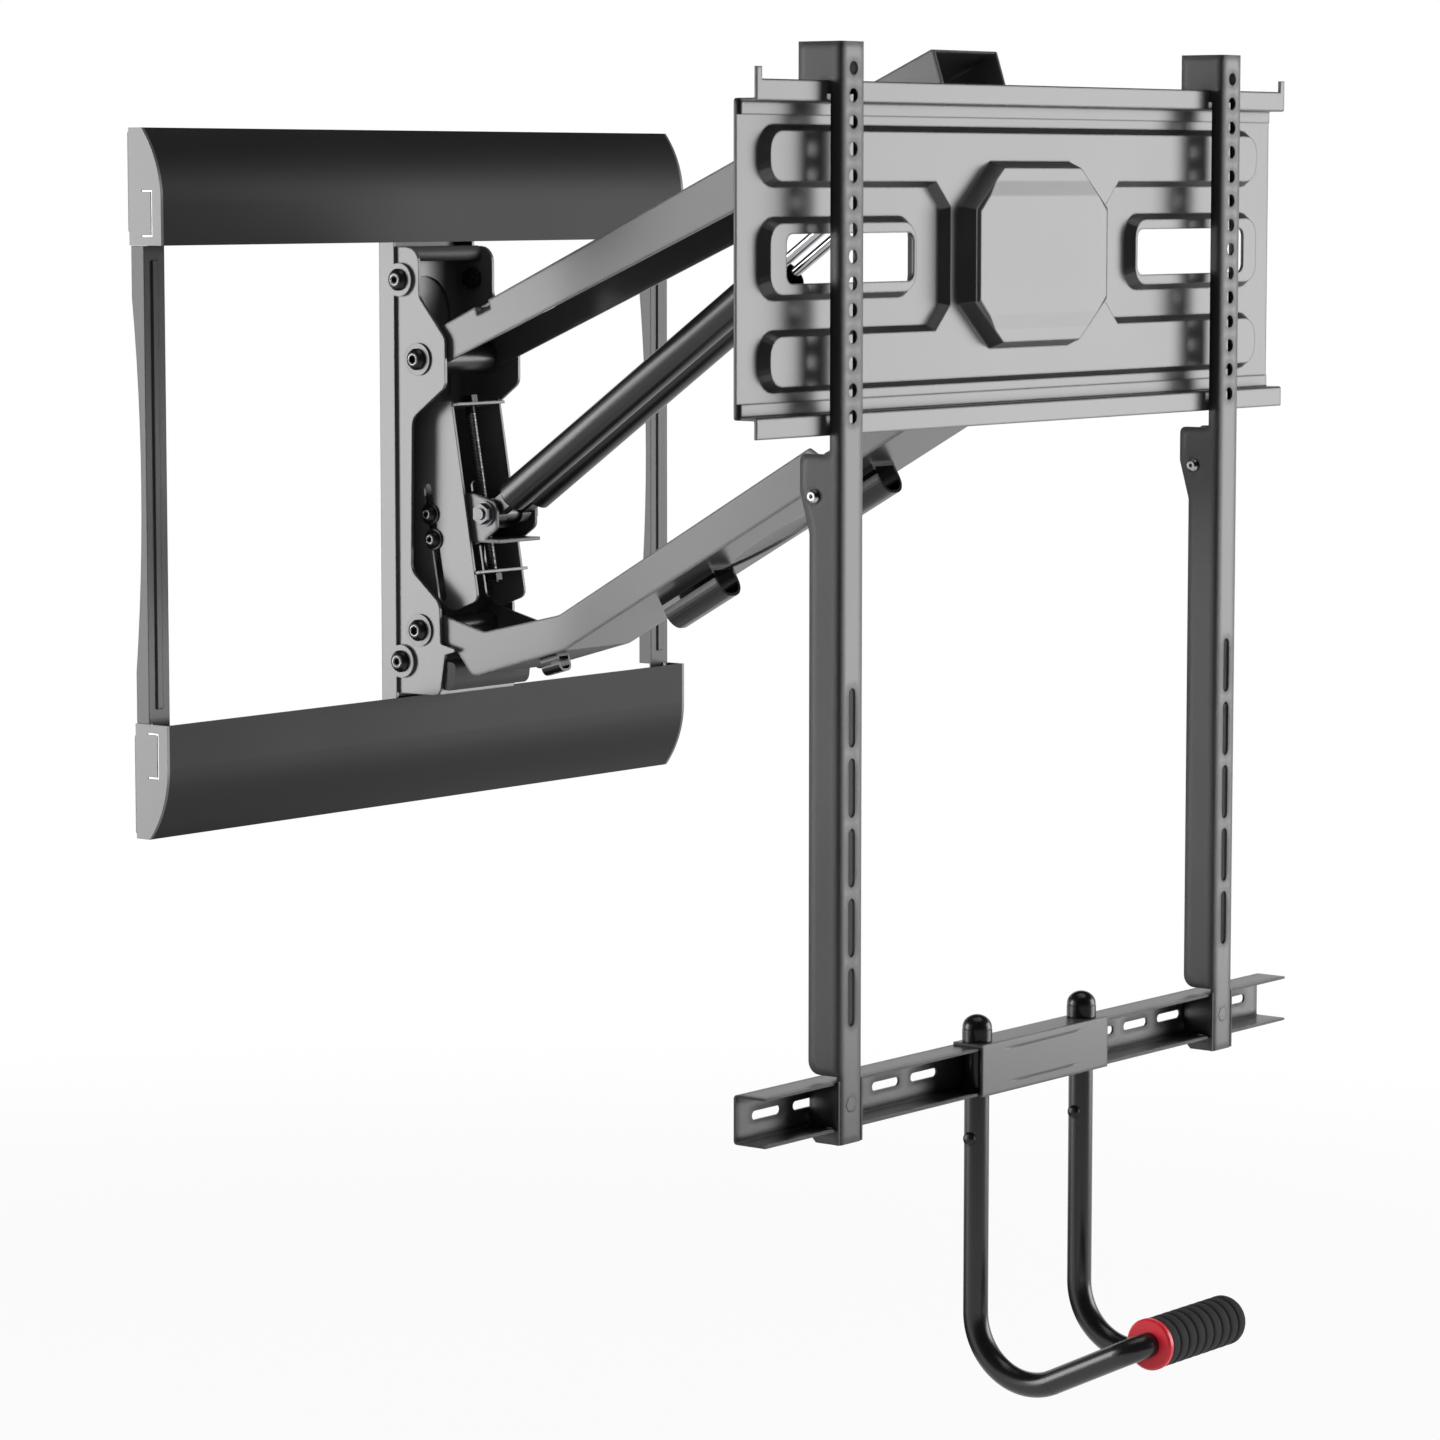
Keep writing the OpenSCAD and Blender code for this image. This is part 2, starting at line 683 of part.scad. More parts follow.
module spring_top_pin() {
    inner = arm_w / 2 - arm_t;
    eye = spring_pitch / 2 + eye_w / 2 + run;
    color("#b4b5b8") {
        bar_x(-arm_w / 2 - 1.5, arm_w / 2 + 1.5, pin_f, pin_z, spring_pin_d);
        bar_x(-spring_pitch / 2 + eye_w / 2 + run, spring_pitch / 2 - eye_w / 2 - run,
            pin_f, pin_z, 16);
        bar_x(-inner, -eye, pin_f, pin_z, 16);
        bar_x(eye, inner, pin_f, pin_z, 16);
    }
}

web_start = 54;
low_slope = 51 / 430;

heel_s = 36;
heel_n = low_depth - 12;

function low_line(s) = -low_depth + low_slope * (s - low_kink);
function back_line(s) = -heel_n - (low_depth - heel_n) * (s - heel_s) / (low_kink - heel_s);

module lower_arm_outline() {
    polygon(rounded([[-14, 14, 13], [-1, 14, 0], [8, 16.5, 6], [63.5, -24.2, 8], [148, -38.4, 18],
        [arm_span - 108, 0, 1], [arm_span - 100, -10, 1], [arm_span - 82, -8, 3],
        [arm_span - 68, 6, 3], [arm_span + 15, 15.2, 5],
        [arm_span + 17, low_line(arm_span + 17), 5], [low_kink, -low_depth, 20],
        [heel_s, -heel_n, 9],
        [28, -30, 4], [16, -19, 0], [-1, -14, 0], [-14, -14, 13]], 8));
}

module lower_arm() {
    lens_r = 95;
    lens_w = 40;
    color("#8f9093") raised(pivot_f, low_z, arm_rest) difference() {
        side_plate(0, arm_w) lower_arm_outline();
        side_plate(0, arm_w - 2 * arm_t) polygon([[-40, 90], [-40, -90], [web_start - 4, -90],
            [web_start, back_line(web_start) + arm_t], [low_kink, arm_t - low_depth],
            [arm_span + 60, low_line(arm_span + 60) + arm_t], [arm_span + 60, 90]]);
        for (s = [0, arm_span]) bar_x(-arm_w, arm_w, s, 0, axle_d + 2 * run);
        // Lens-shaped cable opening in the web
        translate([16, -arm_span * 0.62, -80]) intersection() {
            translate([lens_r - lens_w / 2, 0, 0]) cylinder(h = 60, r = lens_r, $fn = 96);
            translate([lens_w / 2 - lens_r, 0, 0]) cylinder(h = 60, r = lens_r, $fn = 96);
        }
    }
}

module lower_arm_hubs() {
    inner = arm_w / 2 - arm_t;
    color("#4a4b4e") raised(pivot_f, low_z, arm_rest) {
        hub(-inner, inner, 0);
        hub(-inner, -inner + 9, arm_span);
        hub(inner - 9, inner, arm_span);
    }
}

clip_l = 62;
clip_w = 30;
clip_h = 27;
clip_places = [264, 453];
small_clip = 113;

// An open-ended trough along Y with its flat side at z = 0 and a slit in one wall
module trough(l, w, h, t) {
    r = w / 2 - 2;
    rotate([90, 0, 0]) linear_extrude(l, center = true) difference() {
        polygon(rounded([[-w / 2, 0, 0], [-w / 2, -h, r], [w / 2, -h, r], [w / 2, 0, 0]], 8));
        polygon(rounded([[-w / 2 + t, -t, 0], [-w / 2 + t, t - h, r - t], [w / 2 - t, t - h, r - t],
            [w / 2 - t, -t, 0]], 8));
        polygon([[-w / 2 - 1, -2 * t], [-w / 2 + t + 0.5, -2 * t], [-w / 2 + t + 0.5, -3.6 * t],
            [-w / 2 - 1, -3.6 * t]]);
    }
}

// Cable clips under the web of the lower arm
module cable_clips() {
    color("#262628") raised(pivot_f, low_z, arm_rest) {
        for (s = clip_places) translate([0, -s, low_line(s)]) rotate([-atan(low_slope), 0, 0])
            trough(clip_l, clip_w, clip_h, 2.5);
        translate([-24, -small_clip, back_line(small_clip)]) rotate([atan((low_depth - heel_n) / (low_kink - heel_s)), 0, 0])
            trough(20, 16, 15, 2);
    }
}

// Gas springs

tube_start = 24;

module spring_eye(x) {
    difference() {
        side_plate(x, eye_w) union() {
            circle(11);
            polygon(rect2(0, tube_start + 1, -7, 7));
        }
        bar_x(x - eye_w, x + eye_w, 0, 0, spring_pin_d + 2 * run);
    }
}

function rect2(x0, x1, y0, y1) = [[x0, y0], [x1, y0], [x1, y1], [x0, y1]];

module gas_cylinder(side) {
    x = side * spring_pitch / 2;
    color("#37383b") raised(slider_f, slider_z, spring_angle) {
        spring_eye(x);
        difference() {
            translate([x, -tube_start, 0]) rotate([90, 0, 0]) rotate_extrude()
                polygon([[0, 0], [spring_d / 2 - 3, 0], [spring_d / 2, 3],
                    [spring_d / 2, spring_tube_l - 2], [spring_d / 2 - 1, spring_tube_l],
                    [0, spring_tube_l]]);
            bar_f(x, 0, tube_start + 6, tube_start + spring_tube_l + 1,
                spring_d - 2 * spring_wall);
        }
    }
}

module left_gas_cylinder() { gas_cylinder(-1); }

module right_gas_cylinder() { gas_cylinder(1); }

module gas_rod(side) {
    x = side * spring_pitch / 2;
    color("#c4c5c8") raised(pin_f, pin_z, spring_angle + 180) {
        difference() {
            side_plate(x, eye_w) union() {
                circle(11);
                polygon(rect2(0, 18, -6, 6));
            }
            bar_x(x - eye_w, x + eye_w, 0, 0, spring_pin_d + 2 * run);
        }
        bar_f(x, 0, 16, spring_rod_l, spring_rod_d);
    }
}

module left_gas_rod() { gas_rod(-1); }

module right_gas_rod() { gas_rod(1); }

// Head: pivots at the back, swivel in the middle, tilt at the front

head_back = head_f + head_plate_gap;
head_low = low_z + head_z - pivot_z;
head_half = pivot_gap / 2 + 17;
lug_t = 6;

module head_bracket() {
    color("#3f4043") difference() {
        union() {
            for (s = [-1, 1]) side_plate(s * (cheek_x - sheet_t / 2), sheet_t) {
                polygon(rounded([[head_back + sheet_t, plate_z + head_half, 3],
                    [head_f + 8, plate_z + head_half - 2, 10], [head_f - 16, head_z, 12],
                    [head_f + 6, head_z - 22, 8], [head_back - 12, head_z - 40, 12],
                    [head_back - 12, head_low + 40, 12], [head_f + 6, head_low + 22, 8],
                    [head_f - 16, head_low, 12], [head_f + 8, plate_z - head_half + 2, 10],
                    [head_back + sheet_t, plate_z - head_half, 3]]));
                for (z = [head_z, head_low]) translate([head_f, z]) circle(16);
            }
            block(-cheek_x, cheek_x, head_back, head_back + sheet_t,
                plate_z - head_half, plate_z + head_half);
            for (s = [-1, 1]) translate([0, 0, plate_z + s * (swivel_half + lug_t / 2) - lug_t / 2]) {
                translate([-22, -swivel_f, 0]) cube([44, swivel_f - head_back - 1, lug_t]);
                translate([0, -swivel_f, 0]) cylinder(h = lug_t, d = swivel_d + 12);
            }
        }
        for (z = [head_z, head_low]) bar_x(-cheek_x - 1, cheek_x + 1, head_f, z, axle_d + 2 * run);
        translate([0, -swivel_f, plate_z - swivel_half - lug_t - 1])
            cylinder(h = 2 * swivel_half + 2 * lug_t + 2, d = swivel_d + 2 * run);
        // Lightening slot through the head plate
        slot_z(0, plate_z, head_back - 1, head_back + sheet_t + 1, 60, 26);
    }
}

module head_upper_axle() { color("#1d1d1f") pivot_bolt(head_f, head_z, cheek_x - 2); }

// Short studs, so that the springs can pass between them when the arms are up
module head_lower_studs() {
    color("#1d1d1f") for (side = [-1, 1])
        facing(side, cheek_x, head_f, head_low) button_screw(axle_d, 18.6, 6, 16);
}

module swivel_pin() {
    half = swivel_half + lug_t;
    color("#8a8b8e") translate([0, -swivel_f, plate_z]) {
        translate([0, 0, -half - 3]) cylinder(h = 2 * half + 6, d = swivel_d);
        translate([0, 0, half]) cylinder(h = 4, d = swivel_d + 6);
        translate([0, 0, -half - 4]) cylinder(h = 4, d = swivel_d + 6);
    }
}

yoke_x = 33;

module swivel_block() {
    reach = tilt_f + 8;
    color("#56575a") difference() {
        union() {
            translate([0, -swivel_f, plate_z - swivel_half + gap])
                cylinder(h = 2 * swivel_half - 2 * gap, d = swivel_d + 12);
            block(-yoke_x, yoke_x, swivel_f + 2, swivel_f + 8, plate_z - 14, plate_z + 14);
            for (s = [-1, 1]) side_plate(s * (yoke_x - 2), 4)
                polygon(rounded([[swivel_f + 2, plate_z - 14, 2], [reach, plate_z - 12, 8],
                    [reach, plate_z + 12, 8], [swivel_f + 2, plate_z + 14, 2]]));
        }
        translate([0, -swivel_f, plate_z]) cylinder(h = 200, d = swivel_d + 2 * run, center = true);
        bar_x(-yoke_x - 1, yoke_x + 1, tilt_f, plate_z, tilt_d + 2 * run);
    }
}

tilt_x = yoke_x + 4 + gap;

module tilt_pin() {
    color("#1d1d1f") {
        facing(-1, tilt_x, tilt_f, plate_z) button_screw(tilt_d, 15, 5, 2 * tilt_x + 10);
        facing(1, tilt_x, tilt_f, plate_z) hex_nut(tilt_d, 13, 7);
    }
}

module tilt_bracket() {
    seat = boss_f - plate_t;
    color("#4b4c4f") difference() {
        union() {
            block(-64, 64, seat - 4, seat, plate_z - 42, plate_z + 42);
            for (s = [-1, 1]) side_plate(s * (tilt_x - 2), 4)
                polygon(rounded([[seat - 1, plate_z - 26, 0], [tilt_f - 12, plate_z - 10, 9],
                    [tilt_f - 12, plate_z + 10, 9], [seat - 1, plate_z + 26, 0]]));
        }
        bar_x(-tilt_x - 1, tilt_x + 1, tilt_f, plate_z, tilt_d + 2 * run);
    }
}

// Stamped screen plate

pad_in = 133;
mid_in = 147;
pad_out = plate_w / 2 - 25;
panel_half = 101;
groove = 19;
pad_half = 32.5;

// One pressed pad between two levels, drawn in by the slope towards the front
module pad(x0, x1, z0, z1, f0, f1, slope, r) {
    hull() {
        translate([0, -f0, plate_z]) rotate([90, 0, 0]) linear_extrude(0.05)
            polygon(rounded(rect(x0, x1, z0, z1, r)));
        translate([0, -f1 + 0.05, plate_z]) rotate([90, 0, 0]) linear_extrude(0.05)
            polygon(rounded(rect(x0 + slope, x1 - slope, z0 + slope, z1 - slope, max(r - slope / 2, 2))));
    }
}

// All raised pads of the panel, drawn in by i for the hollow behind them
module panel(i) {
    f0 = plate_f - plate_t - (i > 0 ? 1 : 0);
    f1 = panel_f - i;
    r = 18 - i;
    pad(-pad_in + groove + i, pad_in - groove - i, -panel_half + i, panel_half - i,
        f0, f1, press_slope, r);
    for (m = [0, 1]) mirror([m, 0, 0]) {
        pad(20, pad_out - i, pad_half + groove + i, panel_half - i, f0, f1, press_slope, r);
        pad(20, pad_out - i, -panel_half + i, -pad_half - groove - i, f0, f1, press_slope, r);
        pad(mid_in + i, pad_out - i, -pad_half + i, pad_half - i, f0, f1, press_slope, r);
        for (n = [0, 1]) translate([0, 0, plate_z]) mirror([0, 0, n]) corner_pad(i, f0, f1);
    }
}

// Pressed gusset in the inner corner between the middle and the outer pads
function gusset(i) =
    let (x = pad_in - groove, z = pad_half + groove, c = 16)
    [[x - 30, z - c + 0.414 * i], [x - i, z - c + 0.414 * i], [x + c - 0.414 * i, z + i],
        [x + c - 0.414 * i, z + 25], [x - 30, z + 25]];

module corner_pad(i, f0, f1) {
    hull() {
        translate([0, -f0, 0]) rotate([90, 0, 0]) linear_extrude(0.05) polygon(gusset(i));
        translate([0, -f1 + 0.05, 0]) rotate([90, 0, 0]) linear_extrude(0.05)
            polygon(gusset(i + press_slope));
    }
}

boss_w = 98;
boss_h = 74;
boss_cut = 42;

function octagon(i) = [
    [-boss_w + i, -boss_h + boss_cut * 0.85 + i * 0.4], [-boss_w + boss_cut + i * 0.4, -boss_h + i],
    [boss_w - boss_cut - i * 0.4, -boss_h + i], [boss_w - i, -boss_h + boss_cut * 0.85 + i * 0.4],
    [boss_w - i, boss_h - boss_cut * 0.85 - i * 0.4], [boss_w - boss_cut - i * 0.4, boss_h - i],
    [-boss_w + boss_cut + i * 0.4, boss_h - i], [-boss_w + i, boss_h - boss_cut * 0.85 - i * 0.4]];

module boss(i) {
    hull() {
        translate([0, -panel_f + plate_t + i, plate_z]) rotate([90, 0, 0]) linear_extrude(0.05)
            polygon(octagon(i));
        translate([0, -boss_f + i + 0.05, plate_z]) rotate([90, 0, 0]) linear_extrude(0.05)
            polygon(octagon(press_slope + i));
    }
}

// Shallow step over the middle of the boss that leaves a low band above and below
face_rise = 2;

module boss_face() {
    base = [[91, 36], [65, 58], [-65, 58], [-91, 36], [-91, -36], [-65, -58], [65, -58], [91, -36]];
    top = [[88, 34], [76, 46], [-76, 46], [-88, 34], [-88, -34], [-76, -46], [76, -46], [88, -34]];
    hull() {
        translate([0, -boss_f + 0.6, plate_z]) rotate([90, 0, 0]) linear_extrude(0.6) polygon(base);
        translate([0, -boss_f - face_rise + 0.05, plate_z]) rotate([90, 0, 0])
            linear_extrude(0.05) polygon(top);
    }
}

module vesa_plate() {
    window_x = pad_in + groove + 4;
    color("#b6b7ba") difference() {
        union() {
            translate([0, -plate_f + plate_t, plate_z]) rotate([90, 0, 0]) linear_extrude(plate_t)
                polygon(rounded(rect(-plate_w / 2, plate_w / 2, -plate_h / 2, plate_h / 2, 3)));
            panel(0);
            boss(0);
            boss_face();
        }
        panel(plate_t);
        boss(plate_t);
        for (m = [0, 1]) mirror([m, 0, 0])
            translate([0, -plate_f + 20, plate_z]) rotate([90, 0, 0]) linear_extrude(60)
                polygon(rounded(rect(window_x, window_x + window_w, -window_h / 2, window_h / 2, 7)));
    }
}

// Hook rail along the upper (1) or lower (-1) edge of the plate
module hook_rail(level) {
    e = plate_h / 2;
    t = 2.5;
    color("#a5a6a9") translate([0, 0, plate_z]) mirror([0, 0, level < 0 ? 1 : 0]) {
        side_plate(0, plate_w - 6) polygon(rounded([[plate_f, e - 12, 0], [plate_f + t, e - 12, 0],
            [plate_f + t, e - t, 1], [lip_f, e - t, 2], [lip_f, e + hook_lip, 1],
            [lip_f - t, e + hook_lip, 1], [lip_f - t, e, 1], [plate_f, e, 2]], 4));
        if (level > 0) for (s = [-1, 1])
            block(s * (plate_w / 2 - 6) - 3, s * (plate_w / 2 - 6) + 3, lip_f - t, lip_f,
                e + hook_lip - 2, e + hook_lip + 9);
    }
}

module upper_hook_rail() { hook_rail(1); }

module lower_hook_rail() { hook_rail(-1); }

// Screen brackets

low_lug_z = plate_z - plate_h / 2 - hook_lip - 14;
cut_d = 10;

module bracket_side() {
    lip_top = plate_z + plate_h / 2 + hook_lip;
    difference() {
        polygon(rounded([[face_f + 1, top_z + 1, 0], [face_f - lug_d, top_z + 1, 0],
            [face_f - lug_d, lip_top - 10, 4], [face_f - cut_d, lip_top - 10, 0],
            [face_f - cut_d, low_lug_z, 3], [face_f - lug_d + 2, low_lug_z, 5],
            [face_f - lug_d + 2, low_lug_z - 28, 3], [face_f - flange_d, low_lug_z - 60, 12],
            [face_f - flange_d, cross_top + 4, 10], [face_f - bracket_t, cross_top + 4, 0],
            [face_f - bracket_t, top_z - bracket_l - 1, 0], [face_f + 1, top_z - bracket_l - 1, 0]]));
        polygon(rect2(lip_f - 2.5 - gap, lip_f + gap, lip_top - 12, lip_top + gap));
    }
}

module tv_bracket(side) {
    x = side * bracket_gap / 2;
    color("#b0b1b4") difference() {
        intersection() {
            translate([x, -face_f, top_z - bracket_l]) linear_extrude(bracket_l) difference() {
                polygon(rounded(concat([[-bracket_w / 2, 0, 4.5]], [[-bracket_w / 2, lug_d, 0]],
                    [[bracket_w / 2, lug_d, 0]], [[bracket_w / 2, 0, 4.5]])));
                polygon(rounded([[-bracket_w / 2 + bracket_t, bracket_t, 2],
                    [-bracket_w / 2 + bracket_t, lug_d + 1, 0],
                    [bracket_w / 2 - bracket_t, lug_d + 1, 0],
                    [bracket_w / 2 - bracket_t, bracket_t, 2]]));
            }
            side_plate(x, bracket_w + 2) bracket_side();
        }
        for (k = [0:hole_count - 1])
            bar_f(x, hole_z - k * hole_pitch, face_f - bracket_t - 1, face_f + 1, hole_d);
        for (k = [0:slot_count - 1])
            slot_z(x, slot_z - k * slot_pitch, face_f - bracket_t - 1, face_f + 1, slot_l, slot_w);
        bar_f(x, cross_top - cross_h / 2, face_f - bracket_t - 1, face_f + 1, 6.2);
        bar_x(x - bracket_w, x + bracket_w, face_f - 25, low_lug_z - 32, 6.2);
    }
}

module left_tv_bracket() { tv_bracket(-1); }

module right_tv_bracket() { tv_bracket(1); }

module safety_screws() {
    color("#c9cacd") for (side = [-1, 1])
        translate([side * bracket_gap / 2 - bracket_w / 2, -face_f + 25, low_lug_z - 32])
            rotate([0, -90, 0]) button_screw(6, 11, 3.5, bracket_w + 4);
}

// Cross rail and handle

cross_f = face_f - bracket_t;
cross_t = 2;
slot_first = 126;
slot_step = 51;

module leg_bores(z0, z1) {
    for (s = [-1, 1]) translate([s * leg_gap / 2, -leg_f, z0])
        cylinder(h = z1 - z0, d = tube_d + 2 * run);
}

module cross_rail() {
    color("#a9aaad") difference() {
        translate([0, 0, cross_top - cross_h / 2]) side_plate(0, cross_l) difference() {
            polygon(rounded([[cross_f - cross_d, -cross_h / 2, 3], [cross_f, -cross_h / 2, 0],
                [cross_f, cross_h / 2, 0], [cross_f - cross_d, cross_h / 2, 3]]));
            polygon(rounded([[cross_f - cross_d + cross_t, -cross_h / 2 + cross_t, 1],
                [cross_f + 1, -cross_h / 2 + cross_t, 0], [cross_f + 1, cross_h / 2 - cross_t, 0],
                [cross_f - cross_d + cross_t, cross_h / 2 - cross_t, 1]]));
        }
        for (s = [-1, 1], k = [0:floor((cross_l / 2 - slot_first - 20) / slot_step)])
            slot_x(s * (slot_first + k * slot_step), cross_top - cross_h / 2,
                cross_f - cross_d - 1, cross_f - cross_d + cross_t + 1, 36, 7);
        leg_bores(cross_top - cross_h - 1, cross_top + 1);
    }
}

module cross_rail_bolts() {
    color("#202022") for (side = [-1, 1])
        translate([side * bracket_gap / 2, -face_f, cross_top - cross_h / 2]) rotate([90, 0, 0]) {
            button_screw(6, 12, 3.3, bracket_t + cross_d + 8);
            translate([0, 0, -bracket_t - cross_d - 5]) hex_nut(6, 10, 5);
        }
}

clamp_half = leg_gap / 2 + 15;
clamp_t = 2.5;

module handle_clamp() {
    color("#9fa0a3") difference() {
        union() {
            block(-clamp_half, clamp_half, cross_f, cross_f + clamp_t,
                cross_top - cross_h - 1, cross_top + clamp_t);
            block(-clamp_half, clamp_half, cross_f - cross_d + 4, cross_f + 1,
                cross_top, cross_top + clamp_t);
        }
        leg_bores(cross_top - 1, cross_top + clamp_t + 1);
    }
}

stop_pin_d = 5;
pin_low = cross_top - 75;

// One half of the bent tube, with a low weld seam at the end of the large bend
module handle_side() {
    translate([0, -leg_f, bend_z]) cylinder(h = leg_l, d = tube_d);
    translate([0, -bend_f, bend_z]) rotate([90, 0, -90]) rotate([0, 0, 180])
        rotate_extrude(angle = bend_turn) translate([bend_r, 0]) circle(d = tube_d);
    translate([0, -reach_f, reach_z]) rotate([-reach_a, 0, 0]) {
        translate([0, 0.6, 0]) rotate([90, 0, 0]) cylinder(h = 1.2, d = tube_d + 0.2);
        rotate([90, 0, 0]) cylinder(h = reach_l - corner_r, d = tube_d);
        translate([corner_r, -reach_l + corner_r, 0]) rotate([0, 0, 180])
            rotate_extrude(angle = 90) translate([corner_r, 0]) circle(d = tube_d);
        translate([corner_r, -reach_l, 0]) rotate([0, 90, 0]) cylinder(h = grip_half, d = tube_d);
    }
}

module handle_tube() {
    color("#3c3d40") difference() {
        union() {
            for (m = [0, 1]) mirror([m, 0, 0]) translate([-leg_gap / 2, 0, 0]) handle_side();
            bar_x(-1, 1, grip_f, grip_z, tube_d + 0.4);
        }
        for (s = [-1, 1]) translate([s * leg_gap / 2, -leg_f, bend_z + 4])
            cylinder(h = leg_l, d = tube_d - 3.6);
        for (s = [-1, 1]) bar_x(s * leg_gap / 2 - tube_d, s * leg_gap / 2 + tube_d,
            leg_f, pin_low, stop_pin_d + 2 * run);
    }
}

// Domed caps that hang the handle on the clamp
module leg_caps() {
    base = cross_top + clamp_t;
    color("#1f1f21") for (s = [-1, 1]) translate([s * leg_gap / 2, -leg_f, base]) difference() {
        rotate_extrude() polygon([[0, 0], [tube_d / 2 + 2, 0], [tube_d / 2 + 2, 13],
            [tube_d / 2 + 1, 16.5], [tube_d / 2 - 2.5, 19], [0, 20]]);
        translate([0, 0, -1]) cylinder(h = leg_l + bend_z - base + 1, d = tube_d);
    }
}

// Pins below the cross rail that stop the handle on its way up
module stop_pins() {
    color("#8a8b8e") for (s = [-1, 1])
        bar_x(s * leg_gap / 2 - tube_d / 2 - 4, s * leg_gap / 2 + tube_d / 2 + 4,
            leg_f, pin_low, stop_pin_d);
}

grip_l = 2 * (grip_half - ring_w);
rib_w = grip_l / grip_ribs;

module grip_foam() {
    wall = [for (k = [0:grip_ribs - 1]) each [
        [grip_d / 2 - 1.8, k * rib_w], [grip_d / 2 - 0.3, k * rib_w + rib_w * 0.12],
        [grip_d / 2, k * rib_w + rib_w * 0.3], [grip_d / 2, k * rib_w + rib_w * 0.7],
        [grip_d / 2 - 0.3, k * rib_w + rib_w * 0.88], [grip_d / 2 - 1.8, (k + 1) * rib_w - 0.4]]];
    color("#303033") translate([-grip_l / 2 + 0.2, -grip_f, grip_z]) rotate([0, 90, 0]) rotate_extrude()
        polygon(concat([[tube_d / 2 + gap, 0]], wall, [[tube_d / 2 + gap, grip_l - 0.4]]));
}

module grip_ring(side) {
    color("#e01f35") facing(side, grip_half - ring_w, grip_f, grip_z) difference() {
        rotate_extrude() polygon([[0, 0], [grip_d / 2 + 0.5, 0], [grip_d / 2 + 0.5, ring_w - 1.5],
            [grip_d / 2 - 1, ring_w], [0, ring_w]]);
        translate([0, 0, -1]) cylinder(h = ring_w + 2, d = tube_d + 2 * run);
    }
}

module left_grip_ring() { grip_ring(-1); }

module right_grip_ring() { grip_ring(1); }

upper_wall_rail();
lower_wall_rail();
left_side_strip();
right_side_strip();
strip_screws();
wall_column();
arm_carrier();
ear_screws();
upper_stop_bar();
lower_bumper();
upper_cover();
lower_cover();
upper_left_cap();
upper_right_cap();
lower_left_cap();
lower_right_cap();
upper_wall_axle();
lower_wall_axle();
pivot_washers();
adjuster_bracket();
slider_block();
slider_bolts();
slider_pin();
tension_screw();
upper_arm();
upper_arm_hubs();
spring_top_pin();
lower_arm();
lower_arm_hubs();
cable_clips();
left_gas_cylinder();
right_gas_cylinder();
left_gas_rod();
right_gas_rod();
head_bracket();
head_upper_axle();
head_lower_studs();
swivel_pin();
swivel_block();
tilt_pin();
tilt_bracket();
vesa_plate();
upper_hook_rail();
lower_hook_rail();
left_tv_bracket();
right_tv_bracket();
safety_screws();
cross_rail();
cross_rail_bolts();
handle_clamp();
handle_tube();
leg_caps();
stop_pins();
grip_foam();
left_grip_ring();
right_grip_ring();
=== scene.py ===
"""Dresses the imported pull-down wall mount: camera, soft studio light, finishes and fine pieces.

Lengths are in metres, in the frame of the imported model, unless a name or a docstring says
otherwise.
"""

from __future__ import annotations

import json
import logging
import math
from dataclasses import dataclass
from enum import Enum
from typing import Any, Sequence

import bmesh
import bpy
from mathutils import Matrix, Vector

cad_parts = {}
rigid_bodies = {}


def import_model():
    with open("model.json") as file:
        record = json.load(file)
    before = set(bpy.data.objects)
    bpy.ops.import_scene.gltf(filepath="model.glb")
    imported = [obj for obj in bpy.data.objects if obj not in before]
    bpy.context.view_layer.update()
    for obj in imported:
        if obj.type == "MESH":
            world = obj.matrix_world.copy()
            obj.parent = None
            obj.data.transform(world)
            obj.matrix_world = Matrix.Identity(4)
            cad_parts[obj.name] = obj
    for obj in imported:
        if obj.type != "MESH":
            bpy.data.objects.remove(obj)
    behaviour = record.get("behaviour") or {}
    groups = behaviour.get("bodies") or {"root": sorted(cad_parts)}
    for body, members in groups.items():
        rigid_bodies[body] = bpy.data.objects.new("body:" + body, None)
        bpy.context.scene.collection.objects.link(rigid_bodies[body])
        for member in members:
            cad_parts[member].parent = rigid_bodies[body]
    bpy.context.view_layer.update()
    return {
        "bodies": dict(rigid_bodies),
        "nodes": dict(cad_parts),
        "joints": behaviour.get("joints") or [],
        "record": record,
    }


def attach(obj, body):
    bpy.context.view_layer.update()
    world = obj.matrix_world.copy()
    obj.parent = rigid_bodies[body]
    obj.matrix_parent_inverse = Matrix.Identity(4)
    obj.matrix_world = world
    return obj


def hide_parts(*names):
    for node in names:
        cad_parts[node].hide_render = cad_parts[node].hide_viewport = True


log = logging.getLogger("mount")
Pair = tuple[float, float]
Triple = tuple[float, float, float]

STILL: Triple = (0.0, 0.0, 0.0)
MM_PER_M = 1000

# Pattern sizes of the finishes, in noise cells per metre
PEEL_SCALE = 1150.0
MOTTLE_SCALE = 9.0
SPECK_SCALE = 420.0
PLASTIC_MOTTLE_SCALE = 6.0
TOOL_MARK_SCALE = 900.0
STAIN_SCALE = 60.0
CELL_SCALE = 900.0
FOAM_MOTTLE_SCALE = 70.0

# Radius of the edge mask along which the colour is painted lighter, partly as wear of the coat
# and partly as painted highlight
EDGE_WEAR_AND_HIGHLIGHT_RADIUS = 0.0007

# Rays that a Bevel node casts, and where its turn away from the face starts and fills the mask
BEND_SAMPLES = 4
EDGE_FROM, EDGE_FULL = 0.02, 0.26

# Sockets of a Mix node that is set to colours
MIX_FACTOR, MIX_FIRST, MIX_SECOND, MIX_RESULT = 0, 6, 7, 2


def tinted(colour: Triple, factor: float, lift: float = 0.0) -> Triple:
    """A colour made darker or lighter by a factor and a lift."""
    red, green, blue = (min(1.0, c * factor + lift) for c in colour)
    return red, green, blue


